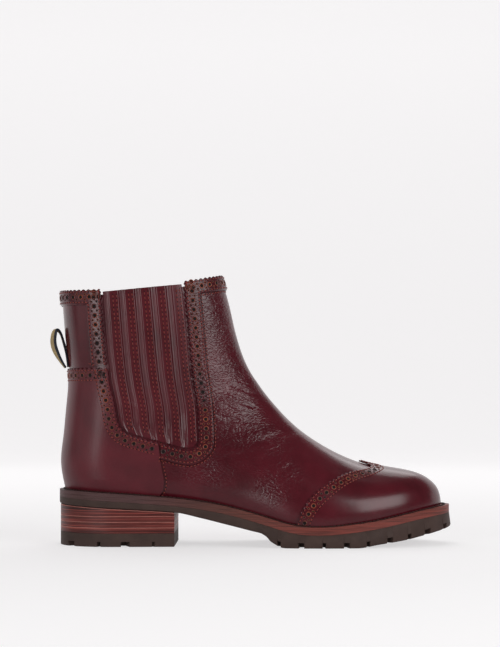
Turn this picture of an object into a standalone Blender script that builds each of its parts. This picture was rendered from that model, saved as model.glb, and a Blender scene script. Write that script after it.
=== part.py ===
"""Brogue ankle boot with elastic side gores, a right boot, built piece by piece.

Metres, +Z up, toe towards +X, outer side towards -Y.  The origin is on the floor under
the middle of the heel.  "Along" is the distance from the back of the sole, and "up" is
the height above the floor.

The upper is worked out from sections: each section is a straight cut, seen from the
side, from a foot point (on the feather line, or on the back of the shaft) to a crown
point (on the ridge of the toe, vamp and shin).  A section's half width falls to nothing
at the crown, at the back of the heel and at the tip of the toe.  The upper's mesh is made
of rings that run round the boot, from the feather line (v = 0) to the collar (v = 1).
"""

from collections import namedtuple
import math

import bmesh
import bpy
import numpy as np
from mathutils import Matrix, Vector

# Main sizes of the boot.
SOLE_LENGTH = 0.270
BALL_WIDTH = 0.0815
HEEL_WIDTH = 0.056
COLLAR_WIDTH = 0.064
HEEL_HEIGHT = 0.0279
INSTEP_HEIGHT = 0.0797
SHAFT_HEIGHT = 0.0658
COLLAR_DROP = 0.0105
COLLAR_DIP = 0.0040
TOE_SPRING = 0.0122

# Layers of the sole, at the heel and under the ball.
SOLE_AT_HEEL = 0.0101
SOLE_AT_BALL = 0.0137
WELT_THICKNESS = 0.0024
MIDSOLE_THICKNESS = 0.0026
INSOLE_THICKNESS = 0.0030
WELT_WIDTH = 0.0055
SOLE_FLARE = 0.0011
EDGE_ROUND = 0.0014

# Leather, clearances and the height over which the sides swell above the feather line.
WALL = 0.0022
GAP = 0.0003
PANEL_LIFT = 0.0004
PANEL_GAP = 0.0011
CLEAR_OF_WELT = 0.0007
OVERLAY = 0.0012
FACING = 0.0017
BELLY_RISE = 0.016

# Heel stack.
HEEL_LENGTH = 0.080
HEEL_INSET = 0.0007
TOP_PIECE = 0.0091
LIFT_COUNT = 4
LIFT_THICKNESS = 0.0038

# Tread.
LUG_DEPTH = 0.0037
LUG_LENGTH = 0.0125
NOTCH_DEPTH = 0.0034
NOTCH_LENGTH = 0.010

# Gore, facings, cap and loop.
PLEATS = 5
PLEAT_THICKNESS = 0.0007
PLEAT_HEIGHT = 0.0011
PLEAT_POWER = 0.7
FACING_WIDTH = 0.0105
CORNER_CLEAR = 1.2
LOOP_WIDTH = 0.0140
LOOP_TAPE = 0.0012
LOOP_HEIGHT = 0.0262
LOOP_BULGE = 0.0085

# How far cutters stand out of what they cut.
CUTTER_CLEAR = 0.006

# Mesh counts.
AROUND = 25
RINGS = 21
TOE_CROWDING = 1.3
OUTLINE_POINTS = 81
LINE_POINTS = 161
CAP_COLUMNS = 15
CAP_ROWS = 11
CAP_CROWDING = 1.6
CAP_FOOT_START = 0.96
COUNTER_COLUMNS = 15
COUNTER_ROWS = 10
GORE_ROWS = 8
FRONT_COLUMNS = (22, 9)
BACK_COLUMNS = (8, 12)
COLLAR_POINTS = 9
PLEAT_STEPS = 4
LOOP_STEPS = 14
LOOP_COLUMNS = 7

ORIGIN_ALONG = HEEL_LENGTH / 2
SEAT_HEIGHT = HEEL_HEIGHT + SOLE_AT_HEEL
BACK_HEIGHT = INSTEP_HEIGHT + SHAFT_HEIGHT - COLLAR_DROP

# The sole from the side.  along: share of SOLE_LENGTH.  rise: how far the seat line has
# climbed from the ball to the heel.  spring: share of TOE_SPRING in the seat line.
# arch: underside as a share of HEEL_HEIGHT.  lift: underside as a share of TOE_SPRING.
# welt: overhang past the feather line as a share of WELT_WIDTH.
Side = namedtuple("Side", "along rise spring arch lift welt")
SIDE = (
    Side(0.000, 1.000, 0.000, 1.000, 0.000, 1.00),
    Side(0.146, 0.901, 0.000, 0.914, 0.000, 0.96),
    Side(0.296, 0.772, 0.000, 0.824, 0.000, 0.80),
    Side(0.367, 0.675, 0.000, 0.677, 0.000, 0.70),
    Side(0.426, 0.551, 0.000, 0.538, 0.000, 0.66),
    Side(0.483, 0.395, 0.000, 0.405, 0.000, 0.70),
    Side(0.519, 0.280, 0.000, 0.315, 0.000, 0.76),
    Side(0.535, 0.226, 0.000, 0.150, 0.000, 0.79),
    Side(0.570, 0.110, 0.000, 0.000, 0.000, 0.86),
    Side(0.622, 0.016, 0.000, 0.000, 0.000, 0.92),
    Side(0.663, 0.000, 0.010, 0.000, 0.000, 0.94),
    Side(0.713, 0.000, 0.090, 0.000, 0.000, 0.95),
    Side(0.748, 0.000, 0.180, 0.000, 0.000, 0.96),
    Side(0.800, 0.000, 0.345, 0.000, 0.165, 1.00),
    Side(0.867, 0.000, 0.640, 0.000, 0.375, 1.10),
    Side(0.930, 0.000, 0.905, 0.000, 0.660, 1.22),
    Side(1.000, 0.000, 1.120, 0.000, 1.000, 1.30),
)

# Sections of toe and vamp.  foot, crown: along, as shares of SOLE_LENGTH.  up: height of
# the crown over the seat line at the foot, as a share of INSTEP_HEIGHT.  feather, belly:
# half widths at the feather line and above it, as shares of BALL_WIDTH.  swing: centre
# line towards the inner side.  lean: extra swing at the crown.  full: power of the
# section's fall towards its crown, higher for squarer.
Vamp = namedtuple("Vamp", "foot crown up feather belly swing lean full")
VAMP = (
    Vamp(0.9660, 0.9660, 0.000, 0.432, 0.436, 0.082, 0.000, 2.60),
    Vamp(0.9597, 0.9597, 0.119, 0.432, 0.438, 0.081, 0.000, 2.60),
    Vamp(0.9445, 0.9445, 0.198, 0.434, 0.441, 0.078, 0.000, 2.55),
    Vamp(0.9150, 0.9150, 0.278, 0.440, 0.450, 0.071, 0.002, 2.50),
    Vamp(0.8740, 0.8740, 0.344, 0.452, 0.464, 0.058, 0.006, 2.40),
    Vamp(0.7926, 0.7926, 0.449, 0.478, 0.492, 0.034, 0.016, 2.20),
    Vamp(0.7037, 0.7111, 0.586, 0.500, 0.514, 0.008, 0.030, 2.00),
    Vamp(0.5926, 0.6222, 0.759, 0.462, 0.478, -0.024, 0.046, 1.95),
    Vamp(0.4519, 0.5593, 0.824, 0.362, 0.396, -0.026, 0.046, 2.20),
    Vamp(0.2963, 0.5185, 0.901, 0.326, 0.366, -0.010, 0.032, 2.70),
)

# Sections of heel and shaft.  foot: along, as a share of SOLE_LENGTH, on the feather
# line, and None on the back of the shaft.  back: height of the foot over the seat, as a
# share of BACK_HEIGHT.  crown: along.  up: height of the crown, as a share of
# INSTEP_HEIGHT on the feather line and of SHAFT_HEIGHT above that.  feather and belly:
# half widths, as shares of HEEL_WIDTH, and collar: what is added, as a share of
# COLLAR_WIDTH less HEEL_WIDTH.
Shaft = namedtuple("Shaft", "foot back crown up feather belly collar full")
SHAFT = (
    Shaft(0.1296, None, 0.4981, 0.956, 0.500, 0.548, 0.00, 3.10),
    Shaft(0.0207, None, 0.4852, 1.000, 0.500, 0.556, 0.00, 3.40),
    Shaft(None, 0.133, 0.4726, 0.096, 0.552, 0.558, 0.00, 3.60),
    Shaft(None, 0.341, 0.4570, 0.265, 0.550, 0.550, 0.05, 3.80),
    Shaft(None, 0.548, 0.4437, 0.461, 0.540, 0.540, 0.12, 4.00),
    Shaft(None, 0.815, 0.4285, 0.732, 0.520, 0.520, 0.34, 4.20),
    Shaft(None, 1.000, 0.4093, 1.000, 0.500, 0.500, 0.50, 4.30),
)

# Back of the boot from the side.  back: height over the seat, as a share of BACK_HEIGHT.
# along: share of SOLE_LENGTH.
Back = namedtuple("Back", "back along")
BACK = (
    Back(0.000, 0.0207),
    Back(0.060, 0.0141),
    Back(0.143, 0.0093),
    Back(0.250, 0.0144),
    Back(0.430, 0.0233),
    Back(0.550, 0.0272),
    Back(0.650, 0.0215),
    Back(0.820, 0.0120),
    Back(1.000, 0.0056),
)

# How far the rounding of heel and toe reaches, and how square it is.
HEEL_REACH = 0.0330
HEEL_SQUARE = 2.25
TOE_REACH = 0.0600
TOE_SQUARE = 2.10

# Outline of the gore from the side, from its rear top corner down, under and up to its
# front top corner.  along: share of SOLE_LENGTH.  up: share of the height from the seat
# to the collar.
Point = namedtuple("Point", "along up")
GORE = (
    Point(0.117, 0.985),
    Point(0.128, 0.700),
    Point(0.139, 0.530),
    Point(0.150, 0.430),
    Point(0.157, 0.345),
    Point(0.176, 0.290),
    Point(0.228, 0.252),
    Point(0.275, 0.224),
    Point(0.332, 0.196),
    Point(0.354, 0.225),
    Point(0.351, 0.360),
    Point(0.337, 0.550),
    Point(0.325, 0.800),
    Point(0.315, 0.985),
)

# Seam where vamp and counter meet, along, as a share of SOLE_LENGTH, and the counter's
# top edge over the seat, as a share of BACK_HEIGHT.
SEAM = 0.258
COUNTER_TOP = 0.608

# The pull loop's tape.  height: share of LOOP_HEIGHT.  out: share of LOOP_BULGE.
Fold = namedtuple("Fold", "height out")
LOOP = (
    Fold(0.00, 0.00),
    Fold(0.35, 0.00),
    Fold(0.70, 0.16),
    Fold(0.95, 0.44),
    Fold(1.00, 0.66),
    Fold(0.88, 0.90),
    Fold(0.60, 1.00),
    Fold(0.30, 0.74),
    Fold(0.00, 0.26),
)

# Rear edge of the toe cap on the outer and inner side.  along: share of SOLE_LENGTH.
# up: share of the height from the seat line to the crown.
CAP_EDGE = (
    Point(0.596, 0.000),
    Point(0.618, 0.216),
    Point(0.645, 0.396),
    Point(0.686, 0.590),
    Point(0.716, 0.720),
    Point(0.740, 0.806),
    Point(0.774, 0.905),
    Point(0.788, 0.965),
)
CAP_PEAK = 0.759

# Cuts in the edge of the forepart and of the heel's top piece.  along: share of
# SOLE_LENGTH.  width: in metres.
WIDE_CUT = 0.0037
NARROW_CUT = 0.0021
Cut = namedtuple("Cut", "along width")
LUG_CUTS = (
    Cut(0.5590, NARROW_CUT),
    Cut(0.6115, WIDE_CUT),
    Cut(0.6650, NARROW_CUT),
    Cut(0.7185, WIDE_CUT),
    Cut(0.7690, NARROW_CUT),
    Cut(0.8200, WIDE_CUT),
    Cut(0.8660, NARROW_CUT),
    Cut(0.9090, WIDE_CUT),
    Cut(0.9500, NARROW_CUT),
)
HEEL_CUTS = (
    Cut(0.0500, WIDE_CUT),
    Cut(0.1120, NARROW_CUT),
    Cut(0.1750, WIDE_CUT * 1.6),
    Cut(0.2450, NARROW_CUT),
)

# Colours, roughness.
LEATHER = ("oxblood leather", (0.155, 0.022, 0.024), 0.32)
GORE_LEATHER = ("gore leather", (0.145, 0.021, 0.022), 0.36)
TAPE = ("woven tape", (0.030, 0.032, 0.050), 0.85)
INSOLE = ("insole leather", (0.45, 0.30, 0.18), 0.60)
WELT = ("welt leather", (0.090, 0.026, 0.020), 0.45)
EDGE = ("sole edge", (0.180, 0.055, 0.032), 0.50)
RUBBER = ("rubber", (0.030, 0.024, 0.022), 0.75)
STACK = ("stacked leather", (0.230, 0.070, 0.035), 0.45)


def spline(at, knots, values):
    """Natural cubic spline through the values at the knots, read at the points."""
    knots = np.asarray(knots, dtype=float)
    values = np.asarray(values, dtype=float)
    step = np.diff(knots)
    slope = np.diff(values) / step
    count = len(knots)
    system = np.eye(count)
    right = np.zeros(count)
    inner = np.arange(1, count - 1)
    system[inner, inner - 1] = step[:-1]
    system[inner, inner] = 2 * (step[:-1] + step[1:])
    system[inner, inner + 1] = step[1:]
    right[inner] = 6 * np.diff(slope)
    bend = np.linalg.solve(system, right)
    at = np.clip(at, knots[0], knots[-1])
    i = np.clip(np.searchsorted(knots, at, side="right") - 1, 0, count - 2)
    ahead = knots[i + 1] - at
    past = at - knots[i]
    h = step[i]
    cubic = (bend[i] * ahead ** 3 + bend[i + 1] * past ** 3) / (6 * h)
    left = (values[i] / h - bend[i] * h / 6) * ahead
    return cubic + left + (values[i + 1] / h - bend[i + 1] * h / 6) * past


def steady(at, knots, values):
    """Cubic through the values that never overshoots them, for outlines with flats."""
    knots = np.asarray(knots, dtype=float)
    values = np.asarray(values, dtype=float)
    step = np.diff(knots)
    slope = np.diff(values) / step
    same = slope[:-1] * slope[1:] > 0
    total = np.where(same, slope[:-1] + slope[1:], 1.0)
    tangent = np.zeros(len(knots))
    tangent[1:-1] = np.where(same, 2 * slope[:-1] * slope[1:] / total, 0.0)
    tangent[0] = slope[0]
    tangent[-1] = slope[-1]
    at = np.clip(at, knots[0], knots[-1])
    i = np.clip(np.searchsorted(knots, at, side="right") - 1, 0, len(knots) - 2)
    h = step[i]
    t = (at - knots[i]) / h
    start = (1 + 2 * t) * (1 - t) ** 2 * values[i] + t * (1 - t) ** 2 * h * tangent[i]
    return start + t ** 2 * (3 - 2 * t) * values[i + 1] - t ** 2 * (1 - t) * h * tangent[i + 1]


def column(table, name):
    """One named column of a table."""
    return np.array([getattr(row, name) for row in table])


SIDE_ALONG = column(SIDE, "along") * SOLE_LENGTH


def seat_height(along):
    """Height of the feather line, where the upper meets the welt."""
    climb = spline(along, SIDE_ALONG, column(SIDE, "rise"))
    spring = spline(along, SIDE_ALONG, column(SIDE, "spring"))
    return SOLE_AT_BALL + climb * (SEAT_HEIGHT - SOLE_AT_BALL) + spring * TOE_SPRING


def tread_height(along):
    """Height of the underside of the outsole."""
    arch = steady(along, SIDE_ALONG, column(SIDE, "arch"))
    lift = steady(along, SIDE_ALONG, column(SIDE, "lift"))
    return arch * HEEL_HEIGHT + lift * TOE_SPRING


def back_along(height):
    """Back of the boot at a height above the floor."""
    share = (height - SEAT_HEIGHT) / BACK_HEIGHT
    return spline(share, column(BACK, "back"), column(BACK, "along")) * SOLE_LENGTH


def section_table():
    """Foot, crown and widths of every section, in metres, from toe to collar."""
    rows = []
    for row in VAMP:
        foot = row.foot * SOLE_LENGTH
        base = float(seat_height(foot))
        rows.append((foot, base, row.crown * SOLE_LENGTH, base + row.up * INSTEP_HEIGHT,
                     row.feather * BALL_WIDTH, row.belly * BALL_WIDTH,
                     row.swing * BALL_WIDTH, row.lean * BALL_WIDTH, row.full))
    for row in SHAFT:
        if row.back is None:
            foot = row.foot * SOLE_LENGTH
            base = float(seat_height(foot))
            top = base + row.up * INSTEP_HEIGHT
        else:
            base = SEAT_HEIGHT + row.back * BACK_HEIGHT
            foot = float(back_along(base))
            top = SEAT_HEIGHT + INSTEP_HEIGHT + row.up * SHAFT_HEIGHT
        wider = row.collar * (COLLAR_WIDTH - HEEL_WIDTH)
        rows.append((foot, base, row.crown * SOLE_LENGTH, top,
                     row.feather * HEEL_WIDTH + wider, row.belly * HEEL_WIDTH + wider,
                     0.0, 0.0, row.full))
    return np.array(rows)


TABLE = section_table()
MIDDLE = (TABLE[:, 0:2] + TABLE[:, 2:4]) / 2
KNOTS = np.concatenate(([0.0], np.cumsum(np.hypot(*np.diff(MIDDLE, axis=0).T))))
SEAT_KNOT = KNOTS[len(VAMP) + 1]
TIP_ALONG = TABLE[0, 0]
COLLAR_BACK = TABLE[-1, 0:2]
COLLAR_FRONT = TABLE[-1, 2:4]


def section_ends(t):
    """Foot and crown of the section at t, as along and up."""
    foot = spline(t, KNOTS, TABLE[:, 0])
    base = np.where(t <= SEAT_KNOT, seat_height(foot), spline(t, KNOTS, TABLE[:, 1]))
    foot = np.where(t <= SEAT_KNOT, foot, back_along(base))
    return foot, base, spline(t, KNOTS, TABLE[:, 2]), spline(t, KNOTS, TABLE[:, 3])


def section_at(along, up):
    """Section that passes through a point of the side view, and how far up it lies."""
    low = np.zeros_like(along)
    high = np.full_like(along, KNOTS[-1])
    for _ in range(34):
        t = (low + high) / 2
        foot, base, crown, top = section_ends(t)
        beyond = (crown - foot) * (up - base) - (top - base) * (along - foot) > 0
        low = np.where(beyond, t, low)
        high = np.where(beyond, high, t)
    foot, base, crown, top = section_ends(t)
    span = np.maximum(np.hypot(crown - foot, top - base), 1e-6)
    reach = ((along - foot) * (crown - foot) + (up - base) * (top - base)) / span ** 2
    return t, np.clip(reach, 0.0, 1.0), span


def fall(share, power):
    """Round fall from 1 to 0 as the share goes from 0 to 1."""
    return np.sqrt(np.maximum(1 - np.clip(share, 0.0, 1.0) ** power, 0.0))


def across(along, up):
    """Centre line and half width of the upper at a point of the side view."""
    t, reach, span = section_at(along, up)
    feather = spline(t, KNOTS, TABLE[:, 4])
    belly = spline(t, KNOTS, TABLE[:, 5])
    swell = np.clip(reach * span / BELLY_RISE, 0.0, 1.0)
    swell = swell * (2 - swell)
    half = feather + (belly - feather) * swell
    half = half * fall(reach, spline(t, KNOTS, TABLE[:, 8]))
    foot = spline(t, KNOTS, TABLE[:, 0])
    half = half * fall(1 - (TIP_ALONG - foot) / TOE_REACH, TOE_SQUARE)
    half = half * fall(1 - (along - back_along(up)) / HEEL_REACH, HEEL_SQUARE)
    centre = spline(t, KNOTS, TABLE[:, 6]) + spline(t, KNOTS, TABLE[:, 7]) * reach ** 2
    return centre, half


CROWN_T = np.linspace(0.0, KNOTS[-1], 800)
CROWN = np.stack(section_ends(CROWN_T)[2:4])
CROWN_RUN = np.concatenate(([0.0], np.cumsum(np.hypot(*np.diff(CROWN, axis=1)))))

# Pace at which the rings climb the back, and how fast the collar's dip fades below it.
BACK_PACE = 0.25
BACK_POWER = 2.3
DIP_POWER = 4


def ring(s, v):
    """Side view of ring v at share s of its way from the back to the front."""
    t = np.interp(v, CROWN_RUN / CROWN_RUN[-1], CROWN_T)
    front = spline(t, KNOTS, TABLE[:, 2])
    front_up = spline(t, KNOTS, TABLE[:, 3])
    climb = BACK_PACE * v + (1 - BACK_PACE) * v ** BACK_POWER
    back_up = SEAT_HEIGHT_BACK + climb * (COLLAR_BACK[1] - SEAT_HEIGHT_BACK)
    back = back_along(back_up)
    along = back + (front - back) * s
    feather = FEATHER_BACK + (TIP_ALONG - FEATHER_BACK) * s
    sag = seat_height(feather) - SEAT_HEIGHT_BACK - (SEAT_AT_TIP - SEAT_HEIGHT_BACK) * s
    up = back_up + (front_up - back_up) * s + sag * (1 - v) ** 2
    return along, up - COLLAR_DIP * 4 * s * (1 - s) * v ** DIP_POWER


FEATHER_BACK = TABLE[len(VAMP) + 1, 0]
SEAT_HEIGHT_BACK = TABLE[len(VAMP) + 1, 1]
SEAT_AT_TIP = TABLE[0, 1]


def upper_point(u, v):
    """Point of the upper's outer surface.  u runs round from the toe (0) along the
    outer side to the back (0.5) and home along the inner side."""
    u, v = np.broadcast_arrays(np.asarray(u, dtype=float), np.asarray(v, dtype=float))
    s = (1 + np.cos(2 * np.pi * u)) / 2
    along, up = ring(s, v)
    centre, half = across(along, up)
    y = centre - np.sign(np.sin(2 * np.pi * u)) * half
    return np.stack((along - ORIGIN_ALONG, y, up), axis=-1)


def upper_normal(u, v, step=2e-4):
    """Outward normal of the upper's surface, from small steps along and across it."""
    u, v = np.broadcast_arrays(np.asarray(u, dtype=float), np.asarray(v, dtype=float))
    above = np.minimum(v + step, 1.0)
    below = np.maximum(v - step, 0.0)
    rise = upper_point(u, above) - upper_point(u, below)
    turn = upper_point(u + step, v) - upper_point(u - step, v)
    normal = np.cross(rise, turn)
    return normal / np.linalg.norm(normal, axis=-1, keepdims=True)


def upper_offset(u, v, offset):
    """Point that lies the offset outside the upper's surface."""
    offset = np.asarray(offset, dtype=float)[..., None]
    return upper_point(u, v) + upper_normal(u, v) * offset


def place_on_upper(along, up):
    """u (outer side) and v of the point that shows at a place of the side view."""
    along = np.asarray(along, dtype=float)
    up = np.asarray(up, dtype=float)
    low = np.zeros_like(along)
    high = np.ones_like(along)
    for _ in range(30):
        v = (low + high) / 2
        back = ring(np.zeros_like(v), v)[0]
        front = ring(np.ones_like(v), v)[0]
        s = np.clip((along - back) / (front - back), 0.0, 1.0)
        under = ring(s, v)[1] < up
        low = np.where(under, v, low)
        high = np.where(under, high, v)
    return np.arccos(np.clip(2 * s - 1, -1.0, 1.0)) / (2 * np.pi), v


def even_on_upper(line, count, end_u=None):
    """u and v at even distances along a line of the side view, which may end at end_u."""
    u, v = place_on_upper(*resample(line, LINE_POINTS))
    if end_u is not None:
        u[-1] = end_u
    steps = np.diff(upper_point(u, v), axis=0)
    run = np.concatenate(([0.0], np.cumsum(np.linalg.norm(steps, axis=1))))
    at = np.linspace(0.0, run[-1], count)
    return np.interp(at, run, u), np.interp(at, run, v)


def lifted(u, lift):
    """v at which the surface stands the lift above the seat line, at each u.  The lift
    is small, so the search stays in the lowest fifth of the rings."""
    s = (1 + np.cos(2 * np.pi * u)) / 2
    low = np.zeros_like(u)
    high = np.full_like(u, 0.2)
    for _ in range(30):
        v = (low + high) / 2
        along, up = ring(s, v)
        under = up - seat_height(along) < lift
        low = np.where(under, v, low)
        high = np.where(under, high, v)
    return v


def collar_height(along):
    """Height of the collar at a distance along."""
    s = np.clip((along - COLLAR_BACK[0]) / (COLLAR_FRONT[0] - COLLAR_BACK[0]), 0.0, 1.0)
    return ring(s, np.ones_like(s))[1]


def crown_height(along):
    """Height of the ridge of toe and vamp at a distance along."""
    return np.interp(-along, -CROWN[0], CROWN[1])


def crown_along(height):
    """Front of the shin, vamp or toe at a height above the floor."""
    return np.interp(height, CROWN[1], CROWN[0])


def shaft_points(points):
    """Side view points whose heights are shares from the seat to the collar."""
    along = column(points, "along") * SOLE_LENGTH
    rise = collar_height(along) - SEAT_HEIGHT
    return np.stack((along, SEAT_HEIGHT + column(points, "up") * rise))


def resample(line, count):
    """The line at evenly spaced distances, with its corners softened by a spline."""
    run = np.concatenate(([0.0], np.cumsum(np.hypot(*np.diff(line, axis=1)))))
    at = np.linspace(0.0, run[-1], count)
    return np.stack([steady(at, run, part) for part in line])


def beside(line, width):
    """The line moved sideways to its right by the width, with mitred corners."""
    edge = np.diff(line, axis=1)
    edge = edge / np.hypot(*edge)
    right = np.stack((edge[1], -edge[0]))
    first = np.concatenate((right[:, :1], right), axis=1)
    last = np.concatenate((right, right[:, -1:]), axis=1)
    mitre = first + last
    mitre = mitre / (mitre ** 2).sum(axis=0) * 2
    return line + mitre * width


def sole_stations():
    """Shares along the boot at which the layers of the sole are cut, toe to heel."""
    even = (1 + np.cos(np.pi * np.arange(AROUND + 1) / AROUND)) / 2
    breaks = SIDE_ALONG[6:9].tolist() + [SIDE_ALONG[12], HEEL_LENGTH]
    breaks = (np.array(breaks) - FEATHER_BACK) / (TIP_ALONG - FEATHER_BACK)
    clear = np.abs(even[:, None] - breaks[None, :]).min(axis=1) > 0.5 / AROUND
    clear[0] = True
    clear[-1] = True
    return np.sort(np.concatenate((even[clear], breaks)))[::-1]


STATIONS = sole_stations()
HALF_TURN = np.arccos(np.clip(2 * STATIONS - 1, -1.0, 1.0)) / (2 * np.pi)
FULL_TURN = np.concatenate((HALF_TURN, 1 - HALF_TURN[-2:0:-1]))


def outline(u, grow):
    """Plan of the sole's edge at u, grown outwards, as along and y.  At nothing grown
    it is the feather line with the welt's overhang."""
    u = np.asarray(u, dtype=float)
    step = 1e-4
    foot = np.zeros_like(u)
    here = upper_point(u, foot)[..., :2]
    turn = (upper_point(u + step, foot) - upper_point(u - step, foot))[..., :2]
    normal = np.stack((-turn[..., 1], turn[..., 0]), axis=-1)
    normal = normal / np.linalg.norm(normal, axis=-1, keepdims=True)
    over = spline(here[..., 0] + ORIGIN_ALONG, SIDE_ALONG, column(SIDE, "welt")) * WELT_WIDTH
    moved = here + normal * (over + grow)[..., None]
    return moved[..., 0] + ORIGIN_ALONG, moved[..., 1]


def feather_outline(u, grow):
    """Plan of the upper's outer surface at the feather line, grown outwards."""
    here = upper_point(u, np.zeros_like(u))
    over = spline(here[..., 0] + ORIGIN_ALONG, SIDE_ALONG, column(SIDE, "welt")) * WELT_WIDTH
    return outline(u, grow - over)


def new_object(name, bm, finish):
    """Object of the bmesh, in the boot's collection, with its material."""
    mesh = bpy.data.meshes.new(name)
    bm.to_mesh(mesh)
    bm.free()
    thing = bpy.data.objects.new(name, mesh)
    PARTS.objects.link(thing)
    title, colour, rough = finish
    material = bpy.data.materials.get(title)
    if material is None:
        material = bpy.data.materials.new(title)
        material.use_nodes = True
        shader = material.node_tree.nodes["Principled BSDF"]
        shader.inputs["Base Color"].default_value = (*colour, 1.0)
        shader.inputs["Roughness"].default_value = rough
        shader.inputs["Metallic"].default_value = 0.0
    mesh.materials.append(material)
    mesh.shade_smooth()
    mesh.set_sharp_from_angle(angle=math.radians(40))
    return thing


def grid_mesh(points, closed):
    """Open surface through rows of points.  Each row closes on itself where asked."""
    bm = bmesh.new()
    rows = [[bm.verts.new(point) for point in row] for row in points]
    count = len(rows[0])
    for lower, upper in zip(rows[:-1], rows[1:]):
        for i in range(count if closed else count - 1):
            j = (i + 1) % count
            bm.faces.new((lower[i], upper[i], upper[j], lower[j]))
    return bm


def give_wall(thing, thickness, outwards):
    """Solidify the open surface, outwards or inwards from its faces."""
    wall = thing.modifiers.new("wall", "SOLIDIFY")
    wall.thickness = thickness
    wall.offset = 1.0 if outwards else -1.0
    wall.use_even_offset = True
    wall.use_quality_normals = True


def overlay(name, u, v, offset, thickness, finish):
    """Piece on the upper, over a patch of u and v, from the offset outwards."""
    offset = offset + 0 * u
    along_rows = np.diff(u, axis=1)[:-1] * np.diff(v, axis=0)[:, :-1]
    along_columns = np.diff(u, axis=0)[:, :-1] * np.diff(v, axis=1)[:-1]
    if (along_rows - along_columns).sum() < 0:
        u, v, offset = u[::-1], v[::-1], offset[::-1]
    thing = new_object(name, grid_mesh(upper_offset(u, v, offset), False), finish)
    give_wall(thing, thickness, True)


def layer(name, levels, finish):
    """Solid through levels, each a plan outline with its heights, from top to bottom.
    Its faces run straight across from the outer to the inner edge."""
    bm = bmesh.new()
    rows = []
    for along, y, up in levels:
        points = np.stack((along - ORIGIN_ALONG, y, up), axis=-1)
        rows.append([bm.verts.new(point) for point in points])
    count = len(rows[0])
    for upper, lower in zip(rows[:-1], rows[1:]):
        for i in range(count):
            j = (i + 1) % count
            bm.faces.new((upper[i], upper[j], lower[j], lower[i]))
    cross_caps(bm, rows[0], rows[-1])
    bmesh.ops.recalc_face_normals(bm, faces=bm.faces)
    return new_object(name, bm, finish)


def cross_caps(bm, top, bottom):
    """Close the top and bottom with strips that join the outer to the inner edge."""
    count = len(top)
    half = count // 2
    for row in (top, bottom):
        for i in range(half):
            a, b = row[i], row[i + 1]
            c, d = row[(count - i - 1) % count], row[(count - i) % count]
            corners = [a, b]
            if c is not b:
                corners.append(c)
            if d is not a:
                corners.append(d)
            bm.faces.new(corners)


def midsole_top(along):
    """Top of the midsole, under the welt."""
    return seat_height(along) - WELT_THICKNESS - GAP


def outsole_top(along):
    """Top of the rubber outsole, under the midsole."""
    return midsole_top(along) - MIDSOLE_THICKNESS - GAP


def make_upper():
    """Hollow upper: rings from the midsole to the collar, with a wall inwards."""
    share = np.linspace(0.0, 1.0, RINGS + 1)
    v = (share ** TOE_CROWDING)[:, None]
    u = FULL_TURN[None, :]
    points = upper_point(u, v)
    skirt = points[:1].copy()
    skirt[..., 2] = midsole_top(skirt[..., 0] + ORIGIN_ALONG) + GAP
    thing = new_object("upper", grid_mesh(np.concatenate((skirt, points)), True), LEATHER)
    give_wall(thing, WALL, False)


def mirror_sides(u, v):
    """A patch of the outer side, carried over to the inner side across its last column."""
    over = np.concatenate((u, 2 * u[:, -1:] - u[:, -2::-1]), axis=1)
    return over, np.concatenate((v, v[:, -2::-1]), axis=1)


def make_toe_cap():
    """Winged cap, from just above the welt to its rear edge."""
    edge_along = column(CAP_EDGE, "along") * SOLE_LENGTH
    crown = crown_height(edge_along)
    base = seat_height(edge_along) + CLEAR_OF_WELT
    edge_up = base + column(CAP_EDGE, "up") * (crown - base)
    peak = CAP_PEAK * SOLE_LENGTH
    line = np.stack((np.append(edge_along, peak), np.append(edge_up, crown_height(peak))))
    rear_u, rear_v = even_on_upper(line, CAP_COLUMNS, 0.0)
    foot_u = np.linspace(rear_u[0] * CAP_FOOT_START, 0.0, CAP_COLUMNS)
    share = np.linspace(0.0, 1.0, CAP_ROWS) ** CAP_CROWDING
    fill_panel("toe_cap", foot_u, rear_u, rear_v, share)


def fill_panel(name, foot_u, edge_u, edge_v, share):
    """Panel from just above the welt up to an edge, on both sides of its last column,
    with rows at the shares of the way."""
    foot_v = lifted(foot_u, CLEAR_OF_WELT)
    share = share[:, None]
    u = foot_u + (edge_u - foot_u) * share
    v = foot_v + (edge_v - foot_v) * share
    u, v = mirror_sides(u, v)
    overlay(name, u, v, PANEL_LIFT, OVERLAY, LEATHER)


def gore_outline():
    """Outline of the gore from the side, as a smooth dense line, open at the collar."""
    return resample(shaft_points(GORE), OUTLINE_POINTS)


def make_counter():
    """Counter round the heel, up to its top edge and to the gore's rear edge."""
    top = SEAT_HEIGHT + COUNTER_TOP * BACK_HEIGHT
    seam = SEAM * SOLE_LENGTH
    line = beside(gore_outline(), PANEL_GAP / 2)
    kept = line[:, (line[1] < top) & (line[0] < seam)][:, ::-1]
    corner = np.array([[kept[0, -1]], [top]])
    back = np.array([[float(back_along(top))], [top]])
    line = np.concatenate((kept, corner, back), axis=1)
    edge_u, edge_v = even_on_upper(line, COUNTER_COLUMNS, 0.5)
    foot = np.array([seam])
    start = place_on_upper(foot, seat_height(foot))[0][0]
    fill_panel("heel_counter", np.linspace(start, 0.5, edge_u.size), edge_u, edge_v,
               np.linspace(0.0, 1.0, COUNTER_ROWS))


def clear_of(line, corner, reach):
    """The points of a line that lie further than the reach from a corner."""
    return line[:, np.hypot(line[0] - corner[0], line[1] - corner[1]) > reach]


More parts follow.
